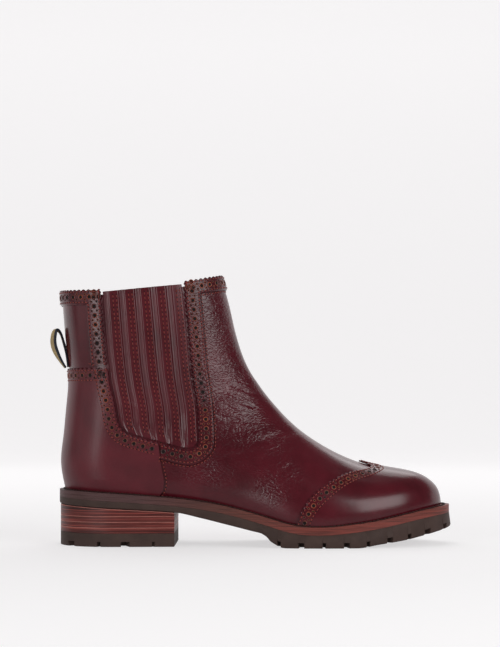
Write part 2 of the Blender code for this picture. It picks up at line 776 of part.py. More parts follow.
def band(name, rise, collar, width, start_axis, profile, end_u, counts):
    """Band beside an edge that rises to a corner and then follows the collar.  Its start
    is cut square to the start axis (0 along, 1 up), and its end is carried over the
    profile, at end_u, to the other side of the boot."""
    corner = collar[:, :1]
    rise = clear_of(rise, corner, abs(width) * CORNER_CLEAR)
    collar = clear_of(collar, corner, abs(width) * CORNER_CLEAR)
    line = np.concatenate((rise, corner, collar), axis=1)
    other = beside(line, width)
    other[start_axis, 0] = line[start_axis, 0]
    other[0, -1] = profile(other[1, -1])
    turn = rise.shape[1]
    edges = []
    for edge in (line, other):
        first_u, first_v = even_on_upper(edge[:, :turn + 1], counts[0])
        last_u, last_v = even_on_upper(edge[:, turn:], counts[1], end_u)
        edges.append((np.append(first_u, last_u[1:]), np.append(first_v, last_v[1:])))
    share = np.linspace(0.0, 1.0, 3)[:, None]
    u = edges[0][0] + (edges[1][0] - edges[0][0]) * share
    v = edges[0][1] + (edges[1][1] - edges[0][1]) * share
    u, v = mirror_sides(u, v)
    overlay(name, u, v, PANEL_LIFT, FACING, LEATHER)


def collar_line(start, end):
    """The collar from the side, between two distances along."""
    along = np.linspace(start, end, COLLAR_POINTS)
    return np.stack((along, collar_height(along)))


def make_facings():
    """Bands beside the gore and under the collar: front and back, over both sides."""
    edge = beside(gore_outline(), PANEL_GAP / 2)
    number = np.arange(OUTLINE_POINTS)
    start = SEAM * SOLE_LENGTH + PANEL_GAP
    rise = edge[:, (edge[0] > start) & (number > OUTLINE_POINTS // 4)]
    collar = collar_line(rise[0, -1], COLLAR_FRONT[0])
    band("facing_front", rise, collar, FACING_WIDTH, 0, crown_along, 0.0, FRONT_COLUMNS)
    top = SEAT_HEIGHT + COUNTER_TOP * BACK_HEIGHT + PANEL_GAP
    rise = edge[:, (edge[1] > top) & (number < OUTLINE_POINTS // 2)][:, ::-1]
    collar = collar_line(rise[0, -1], COLLAR_BACK[0])
    band("facing_back", rise, collar, -FACING_WIDTH, 1, back_along, 0.5, BACK_COLUMNS)


def gore_panel():
    """u, v and offset of the outer gore: five pleats between its rear and front edge."""
    line = beside(gore_outline(), -PANEL_GAP / 2)
    share = np.linspace(0.0, 1.0, PLEATS * PLEAT_STEPS + 1)
    rise = np.linspace(0.0, 1.0, GORE_ROWS)[:, None]
    first = np.argmin(line[0] + line[1])
    last = np.argmax(line[0] - line[1])
    left = resample(line[:, first::-1], GORE_ROWS)[:, :, None]
    right = resample(line[:, last:], GORE_ROWS)[:, :, None]
    low = resample(line[:, first:last + 1], share.size)
    flat = left[:, 0] + (right[:, 0] - left[:, 0]) * share
    along, up = left + (right - left) * share + (low - flat)[:, None, :] * (1 - rise) ** 2
    u, v = place_on_upper(along, up)
    wave = np.abs(np.sin(np.pi * PLEATS * share)) ** PLEAT_POWER
    return u, v, PANEL_LIFT + PLEAT_HEIGHT * wave + 0 * u


def make_gores():
    """Pleated elastic panels on both sides."""
    u, v, offset = gore_panel()
    overlay("gore_outer", u, v, offset, PLEAT_THICKNESS, GORE_LEATHER)
    overlay("gore_inner", 1 - u, v, offset, PLEAT_THICKNESS, GORE_LEATHER)


def make_pull_loop():
    """Folded tape: up the back of the boot, over, and out and down in a bulge."""
    height = column(LOOP, "height") * LOOP_HEIGHT
    out = column(LOOP, "out") * LOOP_BULGE
    run = np.concatenate(([0.0], np.cumsum(np.hypot(np.diff(height), np.diff(out)))))
    at = np.linspace(0.0, run[-1], LOOP_STEPS)
    up = SEAT_HEIGHT + COUNTER_TOP * BACK_HEIGHT + PANEL_GAP + spline(at, run, height)
    out = GAP + LOOP_TAPE / 2 + spline(at, run, out)
    v = place_on_upper(back_along(up), up)[1][:, None]
    near = 0.01
    side = upper_point(np.array([0.5 - near]), v[:1, 0])[0, 1]
    reach = LOOP_WIDTH / 2 * near / abs(side)
    u = 0.5 + np.linspace(-reach, reach, LOOP_COLUMNS)[None, :]
    points = upper_offset(u, v, out[:, None] + 0 * u)
    loop = new_object("pull_loop", grid_mesh(points, False), TAPE)
    wall = loop.modifiers.new("tape", "SOLIDIFY")
    wall.thickness = LOOP_TAPE
    wall.offset = 0.0


def make_welt():
    """Welt: a flat strip round the upper, from beside it to the edge of the sole."""
    inner_along, inner_y = feather_outline(FULL_TURN, GAP)
    edge_along, edge_y = outline(FULL_TURN, 0.0)
    inner_seat = seat_height(inner_along)
    seat = seat_height(edge_along)
    corners = (
        (inner_along, inner_y, inner_seat),
        (edge_along, edge_y, seat),
        (edge_along, edge_y, seat - WELT_THICKNESS),
        (inner_along, inner_y, inner_seat - WELT_THICKNESS),
    )
    rows = [np.stack((x - ORIGIN_ALONG, y, up), axis=-1) for x, y, up in corners]
    bm = grid_mesh(np.stack(rows + rows[:1]), True)
    bmesh.ops.remove_doubles(bm, verts=bm.verts, dist=1e-6)
    bmesh.ops.recalc_face_normals(bm, faces=bm.faces)
    new_object("welt", bm, WELT)


def make_sole():
    """Insole, midsole and outsole, in the order they are laid."""
    turn = FULL_TURN
    along, y = feather_outline(turn, -WALL - GAP)
    base = midsole_top(along) + GAP
    layer("insole", ((along, y, base + INSOLE_THICKNESS), (along, y, base)), INSOLE)

    edge_along, edge_y = outline(turn, 0.0)
    top = midsole_top(edge_along)
    levels = (
        (edge_along, edge_y, top),
        (edge_along, edge_y, top - MIDSOLE_THICKNESS),
    )
    layer("midsole", levels, EDGE)

    wide_along, wide_y = outline(turn, SOLE_FLARE)
    under_along, under_y = outline(turn, SOLE_FLARE - EDGE_ROUND)
    levels = (
        (edge_along, edge_y, outsole_top(edge_along)),
        (wide_along, wide_y, tread_height(wide_along) + EDGE_ROUND),
        (under_along, under_y, tread_height(under_along)),
    )
    outsole = layer("outsole", levels, RUBBER)
    cut_lugs(outsole)


def cutter_object(name, bm):
    """Hidden cutter in its own collection."""
    mesh = bpy.data.meshes.new(name)
    bm.to_mesh(mesh)
    bm.free()
    thing = bpy.data.objects.new(name, mesh)
    CUTTERS.objects.link(thing)
    thing.hide_render = True
    thing.display_type = "WIRE"
    return thing


def cut(thing, cutter):
    """Take the cutter's shape out of the object."""
    change = thing.modifiers.new("cut", "BOOLEAN")
    change.operation = "DIFFERENCE"
    change.solver = "EXACT"
    change.object = cutter


def edge_boxes(cuts, grow, length, depth, floor):
    """Boxes that reach in from the sole's edge on both sides, one for each cut, up to the
    depth above the floor there."""
    bm = bmesh.new()
    step = 1e-3
    for row in cuts:
        share = (row.along * SOLE_LENGTH - FEATHER_BACK) / (TIP_ALONG - FEATHER_BACK)
        turn = math.acos(2 * share - 1) / (2 * math.pi)
        for u in (turn, 1 - turn):
            along, y = outline(np.array([u]), grow)
            further, wider = outline(np.array([u]), grow + step)
            heading = math.atan2(float(wider[0] - y[0]), float(further[0] - along[0]))
            height = float(floor(along)[0]) + depth + 2 * CUTTER_CLEAR
            middle = Vector((along[0] - ORIGIN_ALONG, y[0], height / 2 - 2 * CUTTER_CLEAR))
            place = Matrix.Translation(middle) @ Matrix.Rotation(heading, 4, "Z")
            place = place @ Matrix.Translation(((CUTTER_CLEAR - length) / 2, 0.0, 0.0))
            size = Matrix.Diagonal((length + CUTTER_CLEAR, row.width, height, 1.0))
            bmesh.ops.create_cube(bm, size=1.0, matrix=place @ size)
    return bm


def cut_lugs(outsole):
    """Slots between the lugs, in from the edge of the forepart."""
    slots = edge_boxes(LUG_CUTS, SOLE_FLARE, LUG_LENGTH, LUG_DEPTH, tread_height)
    cut(outsole, cutter_object("lug_slots", slots))


def make_heel():
    """Heel: stacked lifts under the outsole and a notched rubber top piece."""
    turns = HALF_TURN[STATIONS * (TIP_ALONG - FEATHER_BACK) + FEATHER_BACK < HEEL_LENGTH + 1e-6]
    turns = np.concatenate((turns, 1 - turns[-2::-1]))
    along, y = outline(turns, -HEEL_INSET)
    under = tread_height(along) - GAP
    lifts = []
    floor = TOP_PIECE
    for index in range(LIFT_COUNT):
        base = np.full_like(along, floor + GAP)
        last = index == LIFT_COUNT - 1
        top = under if last else np.full_like(along, floor + LIFT_THICKNESS)
        lifts.append((top, base))
        floor = floor + LIFT_THICKNESS
    for number, (top, base) in enumerate(reversed(lifts), start=1):
        heel_block("heel_lift_%d" % number, along, y, top, base, STACK)
    top_piece = heel_block("heel_top_piece", along, y, np.full_like(along, TOP_PIECE),
                           np.zeros_like(along), RUBBER)
    notches = edge_boxes(HEEL_CUTS, -HEEL_INSET, NOTCH_LENGTH, NOTCH_DEPTH, np.zeros_like)
    cut(top_piece, cutter_object("heel_notches", notches))


def heel_block(name, along, y, top, base, finish):
    """Slab of the heel with a straight breast face."""
    bm = bmesh.new()
    rows = []
    for up in (top, base):
        points = np.stack((along - ORIGIN_ALONG, y, up), axis=-1)
        rows.append([bm.verts.new(point) for point in points])
    count = len(along)
    for i in range(count):
        j = (i + 1) % count
        bm.faces.new((rows[0][i], rows[0][j], rows[1][j], rows[1][i]))
    for row in rows:
        for i in range(count // 2):
            corners = [row[i], row[i + 1], row[count - 2 - i], row[count - 1 - i]]
            if corners[1] is corners[2]:
                corners.pop(2)
            bm.faces.new(corners)
    bmesh.ops.recalc_face_normals(bm, faces=bm.faces)
    return new_object(name, bm, finish)


for old in list(bpy.data.objects):
    bpy.data.objects.remove(old, do_unlink=True)
PARTS = bpy.data.collections.new("brogue_boot")
CUTTERS = bpy.data.collections.new("cutters")
bpy.context.scene.collection.children.link(PARTS)
bpy.context.scene.collection.children.link(CUTTERS)

make_upper()
make_welt()
make_sole()
make_heel()
make_toe_cap()
make_counter()
make_facings()
make_gores()
make_pull_loop()
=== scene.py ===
# %% [markdown]
# # An elastic-sided brogue boot
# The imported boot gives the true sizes: its upper, sole layers, gores and loop are plain
# solids.  This lesson dresses them.  The leather is laid again over the same last at a
# finer pitch, because creases, pinked edges and stitches are finer than the solids.
# Everything is in metres, with the toe along +X and the outer side towards -Y.

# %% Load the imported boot
from collections import namedtuple
import math

import bpy
import numpy as np
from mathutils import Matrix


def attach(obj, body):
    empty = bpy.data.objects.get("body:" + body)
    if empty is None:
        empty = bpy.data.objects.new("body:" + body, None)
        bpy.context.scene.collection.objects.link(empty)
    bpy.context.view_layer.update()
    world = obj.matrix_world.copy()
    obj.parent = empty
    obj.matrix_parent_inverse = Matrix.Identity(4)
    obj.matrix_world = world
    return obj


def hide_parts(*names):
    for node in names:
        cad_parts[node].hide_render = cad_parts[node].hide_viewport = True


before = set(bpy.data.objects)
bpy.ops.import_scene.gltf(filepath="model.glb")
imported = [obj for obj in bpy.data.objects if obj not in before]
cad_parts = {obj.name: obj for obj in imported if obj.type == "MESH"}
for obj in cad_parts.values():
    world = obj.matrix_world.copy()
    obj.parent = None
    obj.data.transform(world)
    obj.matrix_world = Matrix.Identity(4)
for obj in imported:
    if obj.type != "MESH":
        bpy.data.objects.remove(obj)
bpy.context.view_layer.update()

# %% [markdown]
# ## The last
# A boot is pulled over a last, so every piece of leather needs the last's surface.  It
# is worked out from a few real sizes and from tables of shares of them: straight
# sections, seen from the side, from a foot point up to a crown point.  The same rule
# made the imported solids, so what is laid on it here lies where they lie.

# %% Sizes of the boot
SOLE_LENGTH = 0.270
BALL_WIDTH = 0.0815
HEEL_WIDTH = 0.056
COLLAR_WIDTH = 0.064
HEEL_HEIGHT = 0.0279
INSTEP_HEIGHT = 0.0797
SHAFT_HEIGHT = 0.0658
COLLAR_DROP = 0.0105
COLLAR_DIP = 0.0040
TOE_SPRING = 0.0122

# Layers of the sole, at the heel and under the ball.
SOLE_AT_HEEL = 0.0101
SOLE_AT_BALL = 0.0137
WELT_THICKNESS = 0.0024
MIDSOLE_THICKNESS = 0.0026
INSOLE_THICKNESS = 0.0030
WELT_WIDTH = 0.0055
SOLE_FLARE = 0.0011
EDGE_ROUND = 0.0014

# Leather, clearances and the height over which the sides swell above the feather line.
WALL = 0.0022
GAP = 0.0003
PANEL_LIFT = 0.0004
PANEL_GAP = 0.0011
CLEAR_OF_WELT = 0.0007
OVERLAY = 0.0012
FACING = 0.0012
BELLY_RISE = 0.016

# Heel stack.
HEEL_LENGTH = 0.080
HEEL_INSET = 0.0007
TOP_PIECE = 0.0091
LIFT_COUNT = 4
LIFT_THICKNESS = 0.0038

# Tread.
LUG_DEPTH = 0.0037
LUG_LENGTH = 0.0125
NOTCH_DEPTH = 0.0034
NOTCH_LENGTH = 0.010

# Gore, facings, cap and loop.
PLEATS = 5
PLEAT_THICKNESS = 0.0004
PLEAT_HEIGHT = 0.0011
PLEAT_POWER = 0.7
FACING_WIDTH = 0.0105
CORNER_CLEAR = 1.2
LOOP_WIDTH = 0.0140
LOOP_TAPE = 0.0012
LOOP_HEIGHT = 0.0262
LOOP_BULGE = 0.0085

# How far cutters stand out of what they cut.
CUTTER_CLEAR = 0.006

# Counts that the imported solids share.
LINE_POINTS = 161
TOE_CROWDING = 1.3
CAP_FOOT_START = 0.96

ORIGIN_ALONG = HEEL_LENGTH / 2
SEAT_HEIGHT = HEEL_HEIGHT + SOLE_AT_HEEL
BACK_HEIGHT = INSTEP_HEIGHT + SHAFT_HEIGHT - COLLAR_DROP
print("seat height:", SEAT_HEIGHT)

# %% Tables of the last
# The sole from the side.  along: share of SOLE_LENGTH.  rise: how far the seat line has
# climbed from the ball to the heel.  spring: share of TOE_SPRING in the seat line.
# arch: underside as a share of HEEL_HEIGHT.  lift: underside as a share of TOE_SPRING.
# welt: overhang past the feather line as a share of WELT_WIDTH.
Side = namedtuple("Side", "along rise spring arch lift welt")
SIDE = (
    Side(0.000, 1.000, 0.000, 1.000, 0.000, 1.00),
    Side(0.146, 0.901, 0.000, 0.914, 0.000, 0.96),
    Side(0.296, 0.772, 0.000, 0.824, 0.000, 0.80),
    Side(0.367, 0.675, 0.000, 0.677, 0.000, 0.70),
    Side(0.426, 0.551, 0.000, 0.538, 0.000, 0.66),
    Side(0.483, 0.395, 0.000, 0.405, 0.000, 0.70),
    Side(0.519, 0.280, 0.000, 0.315, 0.000, 0.76),
    Side(0.535, 0.226, 0.000, 0.150, 0.000, 0.79),
    Side(0.570, 0.110, 0.000, 0.000, 0.000, 0.86),
    Side(0.622, 0.016, 0.000, 0.000, 0.000, 0.92),
    Side(0.663, 0.000, 0.010, 0.000, 0.000, 0.94),
    Side(0.713, 0.000, 0.090, 0.000, 0.000, 0.95),
    Side(0.748, 0.000, 0.180, 0.000, 0.000, 0.96),
    Side(0.800, 0.000, 0.345, 0.000, 0.165, 1.00),
    Side(0.867, 0.000, 0.640, 0.000, 0.375, 1.10),
    Side(0.930, 0.000, 0.905, 0.000, 0.660, 1.22),
    Side(1.000, 0.000, 1.120, 0.000, 1.000, 1.30),
)

# Sections of toe and vamp.  foot, crown: along, as shares of SOLE_LENGTH.  up: height of
# the crown over the seat line at the foot, as a share of INSTEP_HEIGHT.  feather, belly:
# half widths at the feather line and above it, as shares of BALL_WIDTH.  swing: centre
# line towards the inner side.  lean: extra swing at the crown.  full: power of the
# section's fall towards its crown, higher for squarer.
Vamp = namedtuple("Vamp", "foot crown up feather belly swing lean full")
VAMP = (
    Vamp(0.9660, 0.9660, 0.000, 0.432, 0.436, 0.082, 0.000, 2.60),
    Vamp(0.9597, 0.9597, 0.119, 0.432, 0.438, 0.081, 0.000, 2.60),
    Vamp(0.9445, 0.9445, 0.198, 0.434, 0.441, 0.078, 0.000, 2.55),
    Vamp(0.9150, 0.9150, 0.278, 0.440, 0.450, 0.071, 0.002, 2.50),
    Vamp(0.8740, 0.8740, 0.344, 0.452, 0.464, 0.058, 0.006, 2.40),
    Vamp(0.7926, 0.7926, 0.449, 0.478, 0.492, 0.034, 0.016, 2.20),
    Vamp(0.7037, 0.7111, 0.586, 0.500, 0.514, 0.008, 0.030, 2.00),
    Vamp(0.5926, 0.6222, 0.759, 0.462, 0.478, -0.024, 0.046, 1.95),
    Vamp(0.4519, 0.5593, 0.824, 0.362, 0.396, -0.026, 0.046, 2.20),
    Vamp(0.2963, 0.5185, 0.901, 0.326, 0.366, -0.010, 0.032, 2.70),
)

# Sections of heel and shaft.  foot: along, as a share of SOLE_LENGTH, on the feather
# line, and None on the back of the shaft.  back: height of the foot over the seat, as a
# share of BACK_HEIGHT.  crown: along.  up: height of the crown, as a share of
# INSTEP_HEIGHT on the feather line and of SHAFT_HEIGHT above that.  feather and belly:
# half widths, as shares of HEEL_WIDTH, and collar: what is added, as a share of
# COLLAR_WIDTH less HEEL_WIDTH.
Shaft = namedtuple("Shaft", "foot back crown up feather belly collar full")
SHAFT = (
    Shaft(0.1296, None, 0.4981, 0.956, 0.500, 0.548, 0.00, 3.10),
    Shaft(0.0207, None, 0.4852, 1.000, 0.500, 0.556, 0.00, 3.40),
    Shaft(None, 0.133, 0.4726, 0.096, 0.552, 0.558, 0.00, 3.60),
    Shaft(None, 0.341, 0.4570, 0.265, 0.550, 0.550, 0.05, 3.80),
    Shaft(None, 0.548, 0.4437, 0.461, 0.540, 0.540, 0.12, 4.00),
    Shaft(None, 0.815, 0.4285, 0.732, 0.520, 0.520, 0.34, 4.20),
    Shaft(None, 1.000, 0.4093, 1.000, 0.500, 0.500, 0.50, 4.30),
)

# Back of the boot from the side.  back: height over the seat, as a share of BACK_HEIGHT.
# along: share of SOLE_LENGTH.
Back = namedtuple("Back", "back along")
BACK = (
    Back(0.000, 0.0207),
    Back(0.060, 0.0141),
    Back(0.143, 0.0093),
    Back(0.250, 0.0144),
    Back(0.430, 0.0233),
    Back(0.550, 0.0272),
    Back(0.650, 0.0215),
    Back(0.820, 0.0120),
    Back(1.000, 0.0056),
)

# How far the rounding of heel and toe reaches, and how square it is.
HEEL_REACH = 0.0330
HEEL_SQUARE = 2.25
TOE_REACH = 0.0600
TOE_SQUARE = 2.10

# Outline of the gore from the side, from its rear top corner down, under and up to its
# front top corner.  along: share of SOLE_LENGTH.  up: share of the height from the seat
# to the collar.
Point = namedtuple("Point", "along up")
GORE = (
    Point(0.117, 0.985),
    Point(0.128, 0.700),
    Point(0.139, 0.530),
    Point(0.150, 0.430),
    Point(0.157, 0.345),
    Point(0.176, 0.290),
    Point(0.228, 0.252),
    Point(0.275, 0.224),
    Point(0.332, 0.196),
    Point(0.354, 0.225),
    Point(0.351, 0.360),
    Point(0.337, 0.550),
    Point(0.325, 0.800),
    Point(0.315, 0.985),
)

# Seam where vamp and counter meet, along, as a share of SOLE_LENGTH, and the counter's
# top edge over the seat, as a share of BACK_HEIGHT.
SEAM = 0.258
COUNTER_TOP = 0.608

# The pull loop's tape.  height: share of LOOP_HEIGHT.  out: share of LOOP_BULGE.
Fold = namedtuple("Fold", "height out")
LOOP = (
    Fold(0.00, 0.00),
    Fold(0.35, 0.00),
    Fold(0.70, 0.16),
    Fold(0.95, 0.44),
    Fold(1.00, 0.66),
    Fold(0.88, 0.90),
    Fold(0.60, 1.00),
    Fold(0.30, 0.74),
    Fold(0.00, 0.26),
)

# Rear edge of the toe cap on the outer and inner side.  along: share of SOLE_LENGTH.
# up: share of the height from the seat line to the crown.
CAP_EDGE = (
    Point(0.596, 0.000),
    Point(0.618, 0.216),
    Point(0.645, 0.396),
    Point(0.686, 0.590),
    Point(0.716, 0.720),
    Point(0.740, 0.806),
    Point(0.774, 0.905),
    Point(0.788, 0.965),
)
CAP_PEAK = 0.759

# Cuts in the edge of the forepart and of the heel's top piece.  along: share of
# SOLE_LENGTH.  width: in metres.
WIDE_CUT = 0.0037
NARROW_CUT = 0.0021
Cut = namedtuple("Cut", "along width")
LUG_CUTS = (
    Cut(0.5590, NARROW_CUT),
    Cut(0.6115, WIDE_CUT),
    Cut(0.6650, NARROW_CUT),
    Cut(0.7185, WIDE_CUT),
    Cut(0.7690, NARROW_CUT),
    Cut(0.8200, WIDE_CUT),
    Cut(0.8660, NARROW_CUT),
    Cut(0.9090, WIDE_CUT),
    Cut(0.9500, NARROW_CUT),
)
HEEL_CUTS = (
    Cut(0.0500, WIDE_CUT),
    Cut(0.1120, NARROW_CUT),
    Cut(0.1750, WIDE_CUT * 1.6),
    Cut(0.2450, NARROW_CUT),
)
print("sections:", len(VAMP) + len(SHAFT))

# %% Curves through a table


def spline(at, knots, values):
    """Natural cubic spline through the values at the knots, read at the points."""
    knots = np.asarray(knots, dtype=float)
    values = np.asarray(values, dtype=float)
    step = np.diff(knots)
    slope = np.diff(values) / step
    count = len(knots)
    system = np.eye(count)
    right = np.zeros(count)
    inner = np.arange(1, count - 1)
    system[inner, inner - 1] = step[:-1]
    system[inner, inner] = 2 * (step[:-1] + step[1:])
    system[inner, inner + 1] = step[1:]
    right[inner] = 6 * np.diff(slope)
    bend = np.linalg.solve(system, right)
    at = np.clip(at, knots[0], knots[-1])
    i = np.clip(np.searchsorted(knots, at, side="right") - 1, 0, count - 2)
    ahead = knots[i + 1] - at
    past = at - knots[i]
    h = step[i]
    cubic = (bend[i] * ahead ** 3 + bend[i + 1] * past ** 3) / (6 * h)
    left = (values[i] / h - bend[i] * h / 6) * ahead
    return cubic + left + (values[i + 1] / h - bend[i + 1] * h / 6) * past


def steady(at, knots, values):
    """Cubic through the values that never overshoots them, for outlines with flats."""
    knots = np.asarray(knots, dtype=float)
    values = np.asarray(values, dtype=float)
    step = np.diff(knots)
    slope = np.diff(values) / step
    same = slope[:-1] * slope[1:] > 0
    total = np.where(same, slope[:-1] + slope[1:], 1.0)
    tangent = np.zeros(len(knots))
    tangent[1:-1] = np.where(same, 2 * slope[:-1] * slope[1:] / total, 0.0)
    tangent[0] = slope[0]
    tangent[-1] = slope[-1]
    at = np.clip(at, knots[0], knots[-1])
    i = np.clip(np.searchsorted(knots, at, side="right") - 1, 0, len(knots) - 2)
    h = step[i]
    t = (at - knots[i]) / h
    start = (1 + 2 * t) * (1 - t) ** 2 * values[i] + t * (1 - t) ** 2 * h * tangent[i]
    return start + t ** 2 * (3 - 2 * t) * values[i + 1] - t ** 2 * (1 - t) * h * tangent[i + 1]


def column(table, name):
    """One named column of a table."""
    return np.array([getattr(row, name) for row in table])


# %% Heights of the sole
SIDE_ALONG = column(SIDE, "along") * SOLE_LENGTH


def seat_height(along):
    """Height of the feather line, where the upper meets the welt."""
    climb = spline(along, SIDE_ALONG, column(SIDE, "rise"))
    spring = spline(along, SIDE_ALONG, column(SIDE, "spring"))
    return SOLE_AT_BALL + climb * (SEAT_HEIGHT - SOLE_AT_BALL) + spring * TOE_SPRING


def tread_height(along):
    """Height of the underside of the outsole."""
    arch = steady(along, SIDE_ALONG, column(SIDE, "arch"))
    lift = steady(along, SIDE_ALONG, column(SIDE, "lift"))
    return arch * HEEL_HEIGHT + lift * TOE_SPRING


def back_along(height):
    """Back of the boot at a height above the floor."""
    share = (height - SEAT_HEIGHT) / BACK_HEIGHT
    return spline(share, column(BACK, "back"), column(BACK, "along")) * SOLE_LENGTH


# %% Sections of the last
def section_table():
    """Foot, crown and widths of every section, in metres, from toe to collar."""
    rows = []
    for row in VAMP:
        foot = row.foot * SOLE_LENGTH
        base = float(seat_height(foot))
        rows.append((foot, base, row.crown * SOLE_LENGTH, base + row.up * INSTEP_HEIGHT,
                     row.feather * BALL_WIDTH, row.belly * BALL_WIDTH,
                     row.swing * BALL_WIDTH, row.lean * BALL_WIDTH, row.full))
    for row in SHAFT:
        if row.back is None:
            foot = row.foot * SOLE_LENGTH
            base = float(seat_height(foot))
            top = base + row.up * INSTEP_HEIGHT
        else:
            base = SEAT_HEIGHT + row.back * BACK_HEIGHT
            foot = float(back_along(base))
            top = SEAT_HEIGHT + INSTEP_HEIGHT + row.up * SHAFT_HEIGHT
        wider = row.collar * (COLLAR_WIDTH - HEEL_WIDTH)
        rows.append((foot, base, row.crown * SOLE_LENGTH, top,
                     row.feather * HEEL_WIDTH + wider, row.belly * HEEL_WIDTH + wider,
                     0.0, 0.0, row.full))
    return np.array(rows)


TABLE = section_table()
MIDDLE = (TABLE[:, 0:2] + TABLE[:, 2:4]) / 2
KNOTS = np.concatenate(([0.0], np.cumsum(np.hypot(*np.diff(MIDDLE, axis=0).T))))
SEAT_KNOT = KNOTS[len(VAMP) + 1]
TIP_ALONG = TABLE[0, 0]
COLLAR_BACK = TABLE[-1, 0:2]
COLLAR_FRONT = TABLE[-1, 2:4]


def section_ends(t):
    """Foot and crown of the section at t, as along and up."""
    foot = spline(t, KNOTS, TABLE[:, 0])
    base = np.where(t <= SEAT_KNOT, seat_height(foot), spline(t, KNOTS, TABLE[:, 1]))
    foot = np.where(t <= SEAT_KNOT, foot, back_along(base))
    return foot, base, spline(t, KNOTS, TABLE[:, 2]), spline(t, KNOTS, TABLE[:, 3])


SECTION_HALVINGS = 26


def section_at(along, up):
    """Section that passes through a point of the side view, and how far up it lies."""
    low = np.zeros_like(along)
    high = np.full_like(along, KNOTS[-1])
    for _ in range(SECTION_HALVINGS):
        t = (low + high) / 2
        foot, base, crown, top = section_ends(t)
        beyond = (crown - foot) * (up - base) - (top - base) * (along - foot) > 0
        low = np.where(beyond, t, low)
        high = np.where(beyond, high, t)
    foot, base, crown, top = section_ends(t)
    span = np.maximum(np.hypot(crown - foot, top - base), 1e-6)
    reach = ((along - foot) * (crown - foot) + (up - base) * (top - base)) / span ** 2
    return t, np.clip(reach, 0.0, 1.0), span


def fall(share, power):
    """Round fall from 1 to 0 as the share goes from 0 to 1."""
    return np.sqrt(np.maximum(1 - np.clip(share, 0.0, 1.0) ** power, 0.0))


def across(along, up):
    """Centre line and half width of the upper at a point of the side view."""
    t, reach, span = section_at(along, up)
    feather = spline(t, KNOTS, TABLE[:, 4])
    belly = spline(t, KNOTS, TABLE[:, 5])
    swell = np.clip(reach * span / BELLY_RISE, 0.0, 1.0)
    swell = swell * (2 - swell)
    half = feather + (belly - feather) * swell
    half = half * fall(reach, spline(t, KNOTS, TABLE[:, 8]))
    foot = spline(t, KNOTS, TABLE[:, 0])
    half = half * fall(1 - (TIP_ALONG - foot) / TOE_REACH, TOE_SQUARE)
    half = half * fall(1 - (along - back_along(up)) / HEEL_REACH, HEEL_SQUARE)
    centre = spline(t, KNOTS, TABLE[:, 6]) + spline(t, KNOTS, TABLE[:, 7]) * reach ** 2
    return centre, half


# %% Rings round the last
CROWN_T = np.linspace(0.0, KNOTS[-1], 800)
CROWN = np.stack(section_ends(CROWN_T)[2:4])
CROWN_RUN = np.concatenate(([0.0], np.cumsum(np.hypot(*np.diff(CROWN, axis=1)))))

# Pace at which the rings climb the back, and how fast the collar's dip fades below it.
BACK_PACE = 0.25
BACK_POWER = 2.3
DIP_POWER = 4


def ring(s, v):
    """Side view of ring v at share s of its way from the back to the front."""
    t = np.interp(v, CROWN_RUN / CROWN_RUN[-1], CROWN_T)
    front = spline(t, KNOTS, TABLE[:, 2])
    front_up = spline(t, KNOTS, TABLE[:, 3])
    climb = BACK_PACE * v + (1 - BACK_PACE) * v ** BACK_POWER
    back_up = SEAT_HEIGHT_BACK + climb * (COLLAR_BACK[1] - SEAT_HEIGHT_BACK)
    back = back_along(back_up)
    along = back + (front - back) * s
    feather = FEATHER_BACK + (TIP_ALONG - FEATHER_BACK) * s
    sag = seat_height(feather) - SEAT_HEIGHT_BACK - (SEAT_AT_TIP - SEAT_HEIGHT_BACK) * s
    up = back_up + (front_up - back_up) * s + sag * (1 - v) ** 2
    return along, up - COLLAR_DIP * 4 * s * (1 - s) * v ** DIP_POWER


FEATHER_BACK = TABLE[len(VAMP) + 1, 0]
SEAT_HEIGHT_BACK = TABLE[len(VAMP) + 1, 1]
SEAT_AT_TIP = TABLE[0, 1]


def upper_point(u, v):
    """Point of the upper's outer surface.  u runs round from the toe (0) along the
    outer side to the back (0.5) and home along the inner side."""
    u, v = np.broadcast_arrays(np.asarray(u, dtype=float), np.asarray(v, dtype=float))
    s = (1 + np.cos(2 * np.pi * u)) / 2
    along, up = ring(s, v)
    centre, half = across(along, up)
    y = centre - np.sign(np.sin(2 * np.pi * u)) * half
    return np.stack((along - ORIGIN_ALONG, y, up), axis=-1)


def upper_normal(u, v, step=2e-4):
    """Outward normal of the upper's surface, from small steps along and across it."""
    u, v = np.broadcast_arrays(np.asarray(u, dtype=float), np.asarray(v, dtype=float))
    above = np.minimum(v + step, 1.0)
    below = np.maximum(v - step, 0.0)
    rise = upper_point(u, above) - upper_point(u, below)
    turn = upper_point(u + step, v) - upper_point(u - step, v)
    normal = np.cross(rise, turn)
    return normal / np.linalg.norm(normal, axis=-1, keepdims=True)


def upper_offset(u, v, offset):
    """Point that lies the offset outside the upper's surface."""
    offset = np.asarray(offset, dtype=float)[..., None]
    return upper_point(u, v) + upper_normal(u, v) * offset


# %% Places and lines on the last
def place_on_upper(along, up):
    """u (outer side) and v of the point that shows at a place of the side view."""
    along = np.asarray(along, dtype=float)
    up = np.asarray(up, dtype=float)
    low = np.zeros_like(along)
    high = np.ones_like(along)
    for _ in range(30):
        v = (low + high) / 2
        back = ring(np.zeros_like(v), v)[0]
        front = ring(np.ones_like(v), v)[0]
        s = np.clip((along - back) / (front - back), 0.0, 1.0)
        under = ring(s, v)[1] < up
        low = np.where(under, v, low)
        high = np.where(under, high, v)
    return np.arccos(np.clip(2 * s - 1, -1.0, 1.0)) / (2 * np.pi), v


